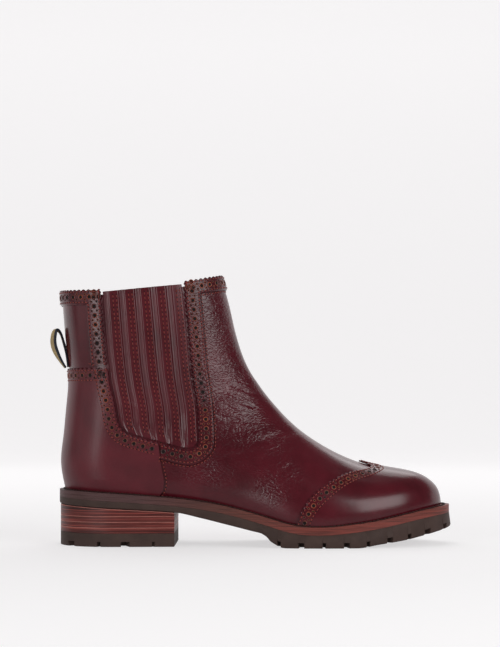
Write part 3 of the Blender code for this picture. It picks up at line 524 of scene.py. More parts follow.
def even_on_upper(line, count, end_u=None):
    """u and v at even distances along a line of the side view, which may end at end_u."""
    u, v = place_on_upper(*resample(line, LINE_POINTS))
    if end_u is not None:
        u[-1] = end_u
    steps = np.diff(upper_point(u, v), axis=0)
    run = np.concatenate(([0.0], np.cumsum(np.linalg.norm(steps, axis=1))))
    at = np.linspace(0.0, run[-1], count)
    return np.interp(at, run, u), np.interp(at, run, v)


def lifted(u, lift):
    """v at which the surface stands the lift above the seat line, at each u.  The lift
    is small, so the search stays in the lowest fifth of the rings."""
    s = (1 + np.cos(2 * np.pi * u)) / 2
    low = np.zeros_like(u)
    high = np.full_like(u, 0.2)
    for _ in range(30):
        v = (low + high) / 2
        along, up = ring(s, v)
        under = up - seat_height(along) < lift
        low = np.where(under, v, low)
        high = np.where(under, high, v)
    return v


def collar_height(along):
    """Height of the collar at a distance along."""
    s = np.clip((along - COLLAR_BACK[0]) / (COLLAR_FRONT[0] - COLLAR_BACK[0]), 0.0, 1.0)
    return ring(s, np.ones_like(s))[1]


def crown_height(along):
    """Height of the ridge of toe and vamp at a distance along."""
    return np.interp(-along, -CROWN[0], CROWN[1])


def crown_along(height):
    """Front of the shin, vamp or toe at a height above the floor."""
    return np.interp(height, CROWN[1], CROWN[0])


def shaft_points(points):
    """Side view points whose heights are shares from the seat to the collar."""
    along = column(points, "along") * SOLE_LENGTH
    rise = collar_height(along) - SEAT_HEIGHT
    return np.stack((along, SEAT_HEIGHT + column(points, "up") * rise))


def resample(line, count):
    """The line at evenly spaced distances, with its corners softened by a spline."""
    run = np.concatenate(([0.0], np.cumsum(np.hypot(*np.diff(line, axis=1)))))
    at = np.linspace(0.0, run[-1], count)
    return np.stack([steady(at, run, part) for part in line])


def beside(line, width):
    """The line moved sideways to its right by the width, with mitred corners."""
    edge = np.diff(line, axis=1)
    edge = edge / np.hypot(*edge)
    right = np.stack((edge[1], -edge[0]))
    first = np.concatenate((right[:, :1], right), axis=1)
    last = np.concatenate((right, right[:, -1:]), axis=1)
    mitre = first + last
    mitre = mitre / (mitre ** 2).sum(axis=0) * 2
    return line + mitre * width

# %% [markdown]
# ## Creases
# Leather that is walked in folds where the foot bends.  The main folds are given as
# bent lines on the side of the boot, in metres along and up.  Each one is a soft trough
# with a low ridge on both sides, which fades at its ends.

# %% Creases listed one by one
Crease = namedtuple("Crease", "start_along start_up bend_along bend_up end_along end_up depth width")
CREASES = (
    Crease(0.113, 0.1120, 0.124, 0.1040, 0.139, 0.1010, 0.00045, 0.0011),
    Crease(0.110, 0.1040, 0.122, 0.0970, 0.137, 0.0925, 0.00050, 0.0012),
    Crease(0.111, 0.0965, 0.120, 0.0900, 0.131, 0.0880, 0.00038, 0.0011),
    Crease(0.108, 0.0890, 0.118, 0.0830, 0.132, 0.0835, 0.00034, 0.0013),
    Crease(0.106, 0.0660, 0.128, 0.0660, 0.166, 0.0790, 0.00042, 0.0024),
    Crease(0.104, 0.0590, 0.124, 0.0600, 0.146, 0.0690, 0.00032, 0.0022),
    Crease(0.104, 0.1250, 0.112, 0.1200, 0.126, 0.1210, 0.00028, 0.0011),
    Crease(0.103, 0.1380, 0.112, 0.1330, 0.124, 0.1350, 0.00024, 0.0010),
    Crease(0.142, 0.0400, 0.149, 0.0500, 0.160, 0.0560, 0.00024, 0.0014),
    Crease(0.137, 0.0370, 0.142, 0.0460, 0.149, 0.0540, 0.00018, 0.0012),
    Crease(0.149, 0.0360, 0.156, 0.0440, 0.165, 0.0490, 0.00018, 0.0012),
)
CREASE_STEPS = 12
INNER_SHIFT = 0.003


def crease_height(along, up):
    """Sum over the creases of depth times fade times (0.5 exp(-(d - 2)^2) - exp(-d^2)),
    where d is the distance to the crease in widths."""
    height = np.zeros(along.shape)
    t = np.linspace(0.0, 1.0, CREASE_STEPS)
    for row in CREASES:
        x = (1 - t) ** 2 * row.start_along + 2 * t * (1 - t) * row.bend_along + t ** 2 * row.end_along
        z = (1 - t) ** 2 * row.start_up + 2 * t * (1 - t) * row.bend_up + t ** 2 * row.end_up
        nearest = np.ones(along.shape)
        share = np.zeros(along.shape)
        for k, (run, climb) in enumerate(zip(np.diff(x), np.diff(z))):
            reach = ((along - x[k]) * run + (up - z[k]) * climb) / (run ** 2 + climb ** 2)
            reach = np.clip(reach, 0.0, 1.0)
            gap = np.hypot(along - x[k] - reach * run, up - z[k] - reach * climb)
            share = np.where(gap < nearest, (k + reach) / (CREASE_STEPS - 1), share)
            nearest = np.minimum(gap, nearest)
        d = nearest / row.width
        fade = np.sin(np.pi * share)
        height = height + row.depth * fade * (0.5 * np.exp(-(d - 2) ** 2) - np.exp(-d ** 2))
    return height


def skin(u, v, offset):
    """The last's surface, moved outwards by the offset and by the creases."""
    u, v = np.broadcast_arrays(np.asarray(u, dtype=float), np.asarray(v, dtype=float))
    along, up = ring((1 + np.cos(2 * np.pi * u)) / 2, v)
    inner = np.sin(2 * np.pi * u) < 0
    return upper_offset(u, v, offset + crease_height(along + INNER_SHIFT * inner, up))


print("creases:", len(CREASES))

# %% [markdown]
# ## From grids to meshes
# A piece is a grid of points, row by row.  A piece of leather is two such grids, its
# face and its back, joined by a rim, so that it is closed like the real thing.

# %% Meshes from grids


def grid_faces(rows, columns, wrap_rows=False, wrap_columns=False):
    """Corner numbers of a grid's quads: (i, j), (i + 1, j), (i + 1, j + 1), (i, j + 1)."""
    i = np.arange(rows if wrap_rows else rows - 1)
    j = np.arange(columns if wrap_columns else columns - 1)
    i, j = np.meshgrid(i, j, indexing="ij")
    below = (i + 1) % rows * columns
    here = i * columns
    after = (j + 1) % columns
    return np.stack((here + j, below + j, below + after, here + after), axis=-1).reshape(-1, 4)


def make_mesh(name, points, faces, materials, slots=None, sharp=40):
    """Object of the points and faces, smooth but for edges sharper than the angle."""
    mesh = bpy.data.meshes.new(name)
    mesh.from_pydata(points.reshape(-1, 3).tolist(), [], [list(face) for face in faces])
    for material in materials:
        mesh.materials.append(material)
    if slots is not None:
        mesh.polygons.foreach_set("material_index", np.asarray(slots, dtype=np.int32))
    mesh.shade_smooth()
    mesh.set_sharp_from_angle(angle=math.radians(sharp))
    piece = bpy.data.objects.new(name, mesh)
    bpy.context.scene.collection.objects.link(piece)
    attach(piece, "root")
    print(name, len(mesh.polygons), "faces")
    return piece


def face_uv(piece, across, along):
    """UV map from one pair of values, in metres, at each point of the mesh."""
    mesh = piece.data
    layer = mesh.uv_layers.new(name="metres")
    corner = np.empty(len(mesh.loops), dtype=np.int32)
    mesh.loops.foreach_get("vertex_index", corner)
    pairs = np.stack((np.ravel(across), np.ravel(along)), axis=-1)[corner]
    layer.data.foreach_set("uv", pairs.astype(np.float32).ravel())


def shell(name, face, back, materials, wrap=False):
    """Closed piece between two grids.  The rim takes the second material."""
    rows, columns = face.shape[:2]
    points = np.concatenate((face, back[::-1]))
    faces = grid_faces(2 * rows, columns, True, wrap)
    slots = np.zeros(len(faces), dtype=int)
    per_row = columns if wrap else columns - 1
    rim = len(materials) - 1
    slots[(rows - 1) * per_row:rows * per_row] = rim
    slots[(2 * rows - 1) * per_row:] = rim
    if not wrap:
        i = np.arange(rows - 1)
        far = 2 * rows - 1 - i
        end = columns - 1
        first = np.stack((i * columns, far * columns, (far - 1) * columns, (i + 1) * columns), axis=-1)
        last = np.stack((i, i + 1, far - 1, far), axis=-1) * columns + end
        faces = np.concatenate((faces, first, last))
        slots = np.concatenate((slots, np.full(2 * len(i), rim)))
    return make_mesh(name, points, faces, materials, slots)


# %% Lines on the last


def path(u, v, offset=0.0):
    """Places of a line on the last, with its tangent, its left side and its normal."""
    place = upper_offset(u, v, offset + 0 * u)
    ahead = np.gradient(place, axis=0)
    normal = upper_normal(u, v)
    side = np.cross(normal, ahead)
    side = side / np.linalg.norm(side, axis=-1, keepdims=True)
    return place, np.cross(side, normal), side, normal


def slide(u, v, distance):
    """The line moved to its left on the surface: the change in u and v whose step along
    the surface's two slopes comes nearest to the distance to that side."""
    step = 1e-4
    high = np.minimum(v + step, 1.0)
    low = np.maximum(v - step, 0.0)
    turn = (upper_point(u + step, v) - upper_point(u - step, v)) / (2 * step)
    rise = (upper_point(u, high) - upper_point(u, low)) / (high - low)[..., None]
    side = path(u, v)[2]
    turn_turn = (turn ** 2).sum(axis=-1)
    rise_rise = (rise ** 2).sum(axis=-1)
    turn_rise = (turn * rise).sum(axis=-1)
    on_turn = (side * turn).sum(axis=-1)
    on_rise = (side * rise).sum(axis=-1)
    whole = turn_turn * rise_rise - turn_rise ** 2
    du = (on_turn * rise_rise - on_rise * turn_rise) / whole
    dv = (on_rise * turn_turn - on_turn * turn_rise) / whole
    return u + du * distance, np.clip(v + dv * distance, 0.0, 1.0)


def run_of(u, v):
    """Distance along a line on the last."""
    steps = np.linalg.norm(np.diff(upper_point(u, v), axis=0), axis=-1)
    return np.concatenate(([0.0], np.cumsum(steps)))


def spaced(u, v, pitch, start=0.5):
    """Points of the line at an even pitch that fits it, the first at start pitches."""
    run = run_of(u, v)
    count = max(int(round(run[-1] / pitch)), 2)
    at = (np.arange(count) + start) * run[-1] / count
    return np.interp(at, run, u), np.interp(at, run, v)


def both_ways(u, v, end):
    """A line of the outer side that ends at u = end, carried on over the inner side."""
    return np.concatenate((u, 2 * end - u[-2::-1])), np.concatenate((v, v[-2::-1]))


# %% [markdown]
# ## Small repeated shapes
# Stitches and punched holes are repeated hundreds of times.  One small shape is copied
# to every place on a line by arithmetic, and all the copies are one mesh.

# %% Copies along a line


def copies(name, template, faces, slots, frames, scales, materials):
    """Template points x, y, z go to place + x tangent + y side + z normal, times scale."""
    place, tangent, side, normal = [np.concatenate(part) for part in zip(*frames)]
    size = np.broadcast_to(scales, (len(place),))[:, None, None]
    local = template[None] * size
    points = place[:, None] + local[..., :1] * tangent[:, None]
    points = points + local[..., 1:2] * side[:, None] + local[..., 2:] * normal[:, None]
    shift = np.arange(len(place))[:, None, None] * len(template)
    every = []
    numbers = []
    for corners in sorted({len(face) for face in faces}):
        kind = [k for k, face in enumerate(faces) if len(face) == corners]
        every.extend((np.array([faces[k] for k in kind]) + shift).reshape(-1, corners).tolist())
        numbers.append(np.tile(slots[kind], len(place)))
    return make_mesh(name, points, every, materials, np.concatenate(numbers), 60)


def turned(profile, sides):
    """Closed shape of a profile (radius, height) turned about the normal.  Its first
    and last points lie on the axis."""
    angle = 2 * np.pi * np.arange(sides) / sides
    rings = [np.stack((r * np.cos(angle), r * np.sin(angle), 0 * angle + z), axis=-1)
             for r, z in profile[1:-1]]
    points = np.concatenate([np.array([[0.0, 0.0, profile[0][1]]])] + rings
                            + [np.array([[0.0, 0.0, profile[-1][1]]])])
    last = len(points) - 1
    faces = []
    for j in range(sides):
        k = (j + 1) % sides
        faces.append((0, 1 + j, 1 + k))
        for i in range(len(rings) - 1):
            low = 1 + i * sides
            faces.append((low + j, low + sides + j, low + sides + k, low + k))
        low = 1 + (len(rings) - 1) * sides
        faces.append((low + j, last, low + k))
    return points, faces


def lying(points):
    """A turned shape laid down, so that its axis runs along the tangent."""
    return points[:, [2, 1, 0]] * np.array([1.0, -1.0, 1.0])

# %% [markdown]
# ## Finishes
# Polished leather is a dark, slightly mottled colour under a clear wax coat.  Fine
# pebble grain and a net of short wrinkles break the gloss.  Both are heights for a Bump
# node, and they are built once as a node group that every leather finish uses.

# %% Node helpers


def node(tree, kind, inputs=(), **settings):
    """New node: its settings, and for each input a value or the output that feeds it."""
    made = tree.nodes.new(kind)
    for key, value in settings.items():
        setattr(made, key, value)
    for key, value in dict(inputs).items():
        if isinstance(value, bpy.types.NodeSocket):
            tree.links.new(value, made.inputs[key])
        else:
            made.inputs[key].default_value = value
    return made


def new_group(name, takes, gives):
    """Shader node group with named inputs (name: kind, default) and outputs (name: kind)."""
    group = bpy.data.node_groups.new(name, "ShaderNodeTree")
    for title, (kind, value) in takes.items():
        socket = group.interface.new_socket(title, in_out="INPUT", socket_type=kind)
        socket.default_value = value
    for title, kind in gives.items():
        group.interface.new_socket(title, in_out="OUTPUT", socket_type=kind)
    return group, node(group, "NodeGroupInput"), node(group, "NodeGroupOutput")


def maths(tree, operation, first, second=0.0, third=0.0):
    """Output of a Math node."""
    return node(tree, "ShaderNodeMath", {0: first, 1: second, 2: third}, operation=operation).outputs[0]


def blend(tree, factor, first, second):
    """Output of a colour mix."""
    inputs = {0: factor, 6: first, 7: second}
    return node(tree, "ShaderNodeMix", inputs, data_type="RGBA").outputs[2]


def new_material(name, **values):
    """Material and its Principled shader, with plain values set on its sockets."""
    material = bpy.data.materials.new(name)
    material.use_nodes = True
    shader = material.node_tree.nodes["Principled BSDF"]
    for key, value in values.items():
        shader.inputs[key.replace("_", " ")].default_value = value
    return material, material.node_tree, shader


def bump(tree, shader, height, distance, strength=1.0):
    """Height, in shares of the distance, to the shader's Normal."""
    made = node(tree, "ShaderNodeBump", {"Height": height, "Distance": distance, "Strength": strength})
    tree.links.new(made.outputs[0], shader.inputs["Normal"])


FLOAT = "NodeSocketFloat"
COLOUR = "NodeSocketColor"

# %% Leather grain as a node group
takes = {
    "Light": (COLOUR, (0.2, 0.02, 0.02, 1.0)),
    "Dark": (COLOUR, (0.1, 0.01, 0.01, 1.0)),
    "Grain": (FLOAT, 1.0),
    "Wrinkles": (FLOAT, 0.0),
    "Roughness": (FLOAT, 0.35),
}
GRAIN, enters, leaves = new_group("leather grain", takes, {"Color": COLOUR, "Roughness": FLOAT, "Height": FLOAT})
place = node(GRAIN, "ShaderNodeTexCoord").outputs["Object"]
pebbles = node(GRAIN, "ShaderNodeTexVoronoi", {"Vector": place, "Scale": 800.0}, feature="SMOOTH_F1")
mottle = node(GRAIN, "ShaderNodeTexNoise", {"Vector": place, "Scale": 34.0, "Detail": 5.0, "Roughness": 0.6})
turn = node(GRAIN, "ShaderNodeMapping", {"Vector": place, "Rotation": (0.0, -0.45, 0.0),
                                         "Scale": (1.0, 1.0, 1.9)})
sway = node(GRAIN, "ShaderNodeTexNoise", {"Vector": turn.outputs[0], "Scale": 90.0, "Detail": 1.0})
bent = node(GRAIN, "ShaderNodeVectorMath", {0: sway.outputs["Color"], 1: (0.006, 0.006, 0.006)}, operation="MULTIPLY")
bent = node(GRAIN, "ShaderNodeVectorMath", {0: bent.outputs[0], 1: turn.outputs[0]}, operation="ADD").outputs[0]
net = node(GRAIN, "ShaderNodeTexVoronoi", {"Vector": bent, "Scale": 300.0}, feature="DISTANCE_TO_EDGE")
stray = node(GRAIN, "ShaderNodeTexNoise", {"Vector": turn.outputs[0], "Scale": 330.0, "Detail": 2.0,
                                           "Roughness": 0.5})
furrow = maths(GRAIN, "MINIMUM", maths(GRAIN, "MULTIPLY", net.outputs["Distance"], 3.4), 1.0)
uneven = maths(GRAIN, "MULTIPLY_ADD", stray.outputs["Fac"], 1.1, furrow)
wrinkled = maths(GRAIN, "MULTIPLY", uneven, enters.outputs["Wrinkles"])
pebbled = maths(GRAIN, "MULTIPLY", pebbles.outputs["Distance"], enters.outputs["Grain"])
height = maths(GRAIN, "MULTIPLY_ADD", wrinkled, 2.6, pebbled)
shade = maths(GRAIN, "MULTIPLY_ADD", mottle.outputs["Fac"], 3.2, -1.1)
shade = maths(GRAIN, "MINIMUM", maths(GRAIN, "MAXIMUM", shade, 0.0), 1.0)
duller = maths(GRAIN, "MULTIPLY_ADD", enters.outputs["Wrinkles"], 0.03, enters.outputs["Roughness"])
rough = maths(GRAIN, "MULTIPLY_ADD", mottle.outputs["Fac"], 0.08, duller)
GRAIN.links.new(blend(GRAIN, shade, enters.outputs["Dark"], enters.outputs["Light"]), leaves.inputs["Color"])
GRAIN.links.new(rough, leaves.inputs["Roughness"])
GRAIN.links.new(height, leaves.inputs["Height"])
print("group:", GRAIN.name, len(GRAIN.nodes), "nodes")

# %% Leather finishes


def leather(name, light, dark, roughness, grain=1.0, gloss=0.5, wrinkles=None):
    """Waxed leather.  Wrinkles is the name of a mesh attribute that masks them."""
    material, tree, shader = new_material(name, Coat_Weight=0.06, Coat_Roughness=0.2, Specular_IOR_Level=gloss)
    inputs = {"Light": (*light, 1.0), "Dark": (*dark, 1.0), "Roughness": roughness, "Grain": grain}
    if wrinkles is not None:
        mask = node(tree, "ShaderNodeAttribute", attribute_name=wrinkles)
        inputs["Wrinkles"] = mask.outputs["Fac"]
    made = tree.nodes.new("ShaderNodeGroup")
    made.node_tree = GRAIN
    for key, value in inputs.items():
        if isinstance(value, bpy.types.NodeSocket):
            tree.links.new(value, made.inputs[key])
        else:
            made.inputs[key].default_value = value
    tree.links.new(made.outputs["Color"], shader.inputs["Base Color"])
    tree.links.new(made.outputs["Roughness"], shader.inputs["Roughness"])
    bump(tree, shader, made.outputs["Height"], 0.00006)
    return material


OXBLOOD = leather("oxblood leather", (0.118, 0.0080, 0.0165), (0.074, 0.0050, 0.0102), 0.19, 0.5, wrinkles="wrinkles")
FACING_LEATHER = leather("facing leather", (0.110, 0.0085, 0.0160), (0.065, 0.0050, 0.0095), 0.20, 1.0, 0.45,
                         "wrinkles")
COUNTER_LEATHER = leather("counter leather", (0.140, 0.0100, 0.0195), (0.095, 0.0066, 0.0135), 0.34, 0.6, 0.45)
GORE_LEATHER = leather("gore leather", (0.130, 0.0095, 0.0180), (0.085, 0.0062, 0.0120), 0.22, 0.3, 0.55)
RAW_EDGE = leather("cut edge", (0.100, 0.018, 0.012), (0.040, 0.006, 0.005), 0.75, 1.0, 0.2)
LINING = leather("lining leather", (0.40, 0.24, 0.14), (0.30, 0.17, 0.10), 0.65, 1.0, 0.3)
INSOLE_LEATHER = leather("insole leather", (0.42, 0.27, 0.16), (0.34, 0.21, 0.12), 0.60, 1.0, 0.3)
print("leathers:", len([m for m in bpy.data.materials if "leather" in m.name]))

# %% Thread, raw hole rims and the painted shade in holes
THREAD, tree, shader = new_material("waxed thread", Roughness=0.6, Coat_Weight=0.15)
twist = node(tree, "ShaderNodeTexNoise", {"Scale": 1500.0}, noise_dimensions="3D")
tree.links.new(node(tree, "ShaderNodeTexCoord").outputs["Object"], twist.inputs["Vector"])
tree.links.new(blend(tree, twist.outputs["Fac"], (0.15, 0.016, 0.014, 1.0), (0.42, 0.065, 0.045, 1.0)),
               shader.inputs["Base Color"])

WELT_THREAD, tree, shader = new_material("welt thread", Roughness=0.6, Specular_IOR_Level=0.3)
twist = node(tree, "ShaderNodeTexNoise", {"Scale": 1500.0})
tree.links.new(node(tree, "ShaderNodeTexCoord").outputs["Object"], twist.inputs["Vector"])
tree.links.new(blend(tree, twist.outputs["Fac"], (0.010, 0.004, 0.004, 1.0), (0.070, 0.022, 0.018, 1.0)),
               shader.inputs["Base Color"])

RIM, tree, shader = new_material("punched rim", Roughness=0.45, Coat_Weight=0.2)
place = node(tree, "ShaderNodeTexCoord").outputs["Object"]
patch = node(tree, "ShaderNodeTexNoise", {"Vector": place, "Scale": 60.0, "Detail": 1.0})
raw = maths(tree, "MULTIPLY_ADD", patch.outputs["Fac"], 5.0, -2.2)
tree.links.new(blend(tree, raw, (0.060, 0.008, 0.008, 1.0), (0.300, 0.055, 0.018, 1.0)), shader.inputs["Base Color"])

# Painted shade: this near-black stands for the shade down in each punched hole and needle prick, not for a colour of
# the leather.
HOLE_SHADE, tree, shader = new_material("painted hole shade", Roughness=0.9)
speck = node(tree, "ShaderNodeTexNoise", {"Scale": 700.0})
tree.links.new(node(tree, "ShaderNodeTexCoord").outputs["Object"], speck.inputs["Vector"])
tree.links.new(blend(tree, speck.outputs["Fac"], (0.004, 0.001, 0.001, 1.0), (0.012, 0.003, 0.003, 1.0)),
               shader.inputs["Base Color"])

# %% [markdown]
# ## The upper
# The upper is one leather body with a lining, open at the collar.  Its rings run round
# the last, closer together low down, towards the feather line and the toe, and turn over at the collar.

# %% Upper
UPPER_AROUND = 300
UPPER_RINGS = 176
UPPER_TOP = 0.984
LINING_RINGS = 30


def wrinkle_mask(along, up, inner):
    """Where the leather is finely wrinkled: soft round patches that add up to 1."""
    mask = np.zeros(along.shape)
    for middle, height, length, rise, most in WRINKLED:
        gap = ((along + INNER_SHIFT * inner - middle) / length) ** 2 + ((up - height) / rise) ** 2
        mask = np.maximum(mask, most * np.exp(-gap ** 1.5))
    return mask


WRINKLED = (
    (0.112, 0.150, 0.018, 0.040, 1.0),
    (0.120, 0.105, 0.025, 0.036, 1.0),
    (0.094, 0.135, 0.010, 0.055, 0.8),
    (0.130, 0.074, 0.036, 0.022, 0.7),
    (0.150, 0.046, 0.016, 0.015, 0.9),
    (0.100, 0.055, 0.022, 0.016, 0.8),
)


def add_wrinkles(piece, u, v):
    """Stores the mask at every point of a piece whose u and v are given."""
    along, up = ring((1 + np.cos(2 * np.pi * u)) / 2, v)
    mask = wrinkle_mask(along, up, np.sin(2 * np.pi * u) < 0)
    layer = piece.data.attributes.new("wrinkles", "FLOAT", "POINT")
    layer.data.foreach_set("value", mask.astype(np.float32).ravel())


def midsole_top(along):
    """Top of the midsole, under the welt."""
    return seat_height(along) - WELT_THICKNESS - GAP


u = (np.arange(UPPER_AROUND) / UPPER_AROUND)[None, :]
v = (np.linspace(0.0, 1.0, UPPER_RINGS) ** TOE_CROWDING * UPPER_TOP)[:, None]
face = skin(u, v, 0 * u)
skirt = face[:1].copy()
skirt[..., 2] = midsole_top(skirt[..., 0] + ORIGIN_ALONG) + GAP
v_in = (np.linspace(0.0, 1.0, LINING_RINGS) ** TOE_CROWDING * UPPER_TOP)[:, None]
back = upper_offset(u, v_in, -WALL + 0 * u * v_in)
hem = back[:1].copy()
hem[..., 2] = midsole_top(hem[..., 0] + ORIGIN_ALONG) + GAP
points = np.concatenate((skirt, face, back[::-1], hem))
faces = grid_faces(len(points), UPPER_AROUND, True, True)
slots = np.repeat((np.arange(len(points)) > UPPER_RINGS).astype(int), UPPER_AROUND)
upper = make_mesh("leather_upper", points, faces, [OXBLOOD, LINING], slots)
every_v = np.concatenate((v[:1], v, v_in[::-1], v_in[:1]))
add_wrinkles(upper, u + 0 * every_v, every_v + 0 * u)
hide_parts("upper")

# %% [markdown]
# ## Panels with pinked edges
# Cap, counter and facings are cut from leather and laid over the upper.  A pinking tool
# gives an edge its row of small teeth.  Each panel is a grid between two lines on the
# last, and the last few rows beside a pinked line are pushed in and out by the teeth.

# %% Panels
TOOTH_PITCH = 0.0036
TOOTH_DEPTH = 0.0014
TOOTH_REACH = 0.0022
RIM_DROP = 0.00025
SKIVE_WIDTH = 0.0016
SKIVE_LEFT = 0.35


def teeth(run):
    """Rounded triangle wave from 0 at the root to 1 at the tip of each tooth."""
    count = max(round(run[-1] / TOOTH_PITCH), 1)
    phase = run / run[-1] * count
    return (1 - np.abs(2 * (phase % 1) - 1)) ** 0.8


def panel(name, near, far, rows, lift, thickness, outwards, materials, skived=False):
    """Panel between two lines on the last, given as (u, v) pairs of equal length.  The
    near line is pinked, and its teeth point to the left where outwards is 1.  A skived
    panel is pared thin towards its far line."""
    share = np.linspace(0.0, 1.0, rows)[:, None]
    u = near[0] + (far[0] - near[0]) * share
    v = near[1] + (far[1] - near[1]) * share
    root_u, root_v = slide(*near, -outwards * TOOTH_DEPTH)
    width = np.linalg.norm(upper_point(*near) - upper_point(*far), axis=-1)
    close = np.clip(1 - share * width / TOOTH_REACH, 0.0, 1.0)
    root = 1 - teeth(run_of(*near))
    u = u + close * root * (root_u - near[0])
    v = v + close * root * (root_v - near[1])
    pared = np.clip(1 - (1 - share) * width / SKIVE_WIDTH, 0.0, 1.0) ** 2 * skived
    by_rows = np.diff(u, axis=1)[:-1] * np.diff(v, axis=0)[:, :-1]
    by_columns = np.diff(u, axis=0)[:, :-1] * np.diff(v, axis=1)[:-1]
    if (by_rows - by_columns).sum() < 0:
        u, v, pared = u[::-1], v[::-1], pared[::-1]
    top = lift + thickness * (1 - pared * (1 - SKIVE_LEFT))
    top[0] -= RIM_DROP
    top[-1] -= RIM_DROP
    piece = shell(name, skin(u, v, top), skin(u, v, lift + 0 * u), materials)
    add_wrinkles(piece, np.concatenate((u, u[::-1])), np.concatenate((v, v[::-1])))
    return piece


# %% Toe cap
CAP_COLUMNS = 170
CAP_ROWS = 56
edge_along = column(CAP_EDGE, "along") * SOLE_LENGTH
crown = crown_height(edge_along)
base = seat_height(edge_along) + CLEAR_OF_WELT
edge_up = base + column(CAP_EDGE, "up") * (crown - base)
peak = CAP_PEAK * SOLE_LENGTH
line = np.stack((np.append(edge_along, peak), np.append(edge_up, crown_height(peak))))
cap_edge = both_ways(*even_on_upper(line, CAP_COLUMNS, 0.0), 0.0)
foot_u = np.linspace(cap_edge[0][0] * CAP_FOOT_START, 0.0, CAP_COLUMNS)
cap_foot = both_ways(foot_u, lifted(foot_u, CLEAR_OF_WELT), 0.0)
cap = panel("winged_toe_cap", cap_edge, cap_foot, CAP_ROWS, PANEL_LIFT, OVERLAY, 1, [OXBLOOD, RAW_EDGE])
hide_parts("toe_cap")

# %% Counter
COUNTER_COLUMNS = 190
COUNTER_ROWS = 64


def gore_outline():
    """Outline of the gore from the side, as a smooth dense line, open at the collar."""
    return resample(shaft_points(GORE), 321)


top = SEAT_HEIGHT + COUNTER_TOP * BACK_HEIGHT
seam = SEAM * SOLE_LENGTH
line = beside(gore_outline(), PANEL_GAP / 2)
kept = line[:, (line[1] < top) & (line[0] < seam)][:, ::-1]
corner = np.array([[kept[0, -1]], [top]])
rear = np.array([[float(back_along(top))], [top]])
line = np.concatenate((kept, corner, rear), axis=1)
counter_edge = both_ways(*even_on_upper(line, COUNTER_COLUMNS, 0.5), 0.5)
foot = np.array([seam])
start = place_on_upper(foot, seat_height(foot))[0][0]
foot_u = np.linspace(start, 0.5, COUNTER_COLUMNS)
counter_foot = both_ways(foot_u, lifted(foot_u, CLEAR_OF_WELT), 0.5)
counter = panel("heel_counter_panel", counter_edge, counter_foot, COUNTER_ROWS, PANEL_LIFT, OVERLAY, -1,
                [COUNTER_LEATHER, RAW_EDGE])
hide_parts("heel_counter")

# %% Facings
FACING_ROWS = 22


def clear_of(line, corner, reach):
    """The points of a line that lie further than the reach from a corner."""
    return line[:, np.hypot(line[0] - corner[0], line[1] - corner[1]) > reach]


def facing_lines(rise, collar, width, start_axis, profile, end_u, counts):
    """Edge and far edge of a band that rises to a corner and then follows the collar,
    over both sides of the boot."""
    corner = collar[:, :1]
    rise = clear_of(rise, corner, abs(width) * CORNER_CLEAR)
    collar = clear_of(collar, corner, abs(width) * CORNER_CLEAR)
    line = np.concatenate((rise, corner, collar), axis=1)
    other = beside(line, width)
    other[start_axis, 0] = line[start_axis, 0]
    other[0, -1] = profile(other[1, -1])
    turn = rise.shape[1]
    edges = []
    for edge in (line, other):
        first_u, first_v = even_on_upper(edge[:, :turn + 1], counts[0])
        last_u, last_v = even_on_upper(edge[:, turn:], counts[1], end_u)
        edges.append(both_ways(np.append(first_u, last_u[1:]), np.append(first_v, last_v[1:]), end_u))
    return edges


def collar_line(start, end):
    """The collar from the side, between two distances along."""
    along = np.linspace(start, end, 41)
    return np.stack((along, collar_height(along)))


edge = beside(gore_outline(), PANEL_GAP / 2)
number = np.arange(edge.shape[1])
rise = edge[:, (edge[0] > seam + PANEL_GAP) & (number > edge.shape[1] // 4)]
collar = collar_line(rise[0, -1], COLLAR_FRONT[0])
front_edge, front_far = facing_lines(rise, collar, FACING_WIDTH, 0, crown_along, 0.0, (300, 80))
facing_front = panel("front_facing", front_edge, front_far, FACING_ROWS, PANEL_LIFT, FACING, 1,
                     [FACING_LEATHER, RAW_EDGE], True)
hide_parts("facing_front")

rise = edge[:, (edge[1] > top + PANEL_GAP) & (number < edge.shape[1] // 2)][:, ::-1]
collar = collar_line(rise[0, -1], COLLAR_BACK[0])
back_edge, back_far = facing_lines(rise, collar, -FACING_WIDTH, 1, back_along, 0.5, (90, 80))
facing_back = panel("back_facing", back_edge, back_far, FACING_ROWS, PANEL_LIFT, FACING, -1,
                    [FACING_LEATHER, RAW_EDGE], True)
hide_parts("facing_back")

# %% [markdown]
# ## Gores
# The elastic at each side is covered with thin leather in five pleats.  Each pleat has a
# rolled edge at its rear and a flat that is sewn down with two rows of stitches.

# %% Gores
PLEAT_STEPS = 34
GORE_ROWS = 70
ROLL_SWELL = 1.1
ROLL_AT = 0.24
ROLL_HALF = 0.21
FLAT_HEIGHT = 0.22
GROOVE_WIDTH = 0.030
GROOVE_DEPTH = 0.60
GORE_FADE = 0.10


def pleat_profile(share):
    """Height of the pleats: a round roll, then a flat that falls a little to a groove."""
    x = share * PLEATS % 1
    roll = (1 + np.cos(np.clip((x - ROLL_AT) / ROLL_HALF, -1.0, 1.0) * np.pi)) / 2
    flat = FLAT_HEIGHT * (1 - x / 2)
    groove = np.exp(-(np.minimum(x, 1 - x) / GROOVE_WIDTH) ** 2)
    return np.maximum(roll, flat) - GROOVE_DEPTH * groove


def gore_place(share, rise):
    """u and v on the outer side at shares of the gore's width and height."""
    line = beside(gore_outline(), -PANEL_GAP / 2)
    first = np.argmin(line[0] + line[1])
    last = np.argmax(line[0] - line[1])
    left = resample(line[:, first::-1], 161)
    right = resample(line[:, last:], 161)
    low = resample(line[:, first:last + 1], 161)
    grid = np.linspace(0.0, 1.0, 161)
    ends = []
    for k in (0, 1):
        a = np.interp(rise, grid, left[k])
        b = np.interp(rise, grid, right[k])
        flat = left[k, 0] + (right[k, 0] - left[k, 0]) * share
        ends.append(a + (b - a) * share + (np.interp(share, grid, low[k]) - flat) * (1 - rise) ** 2)
    return place_on_upper(*ends)


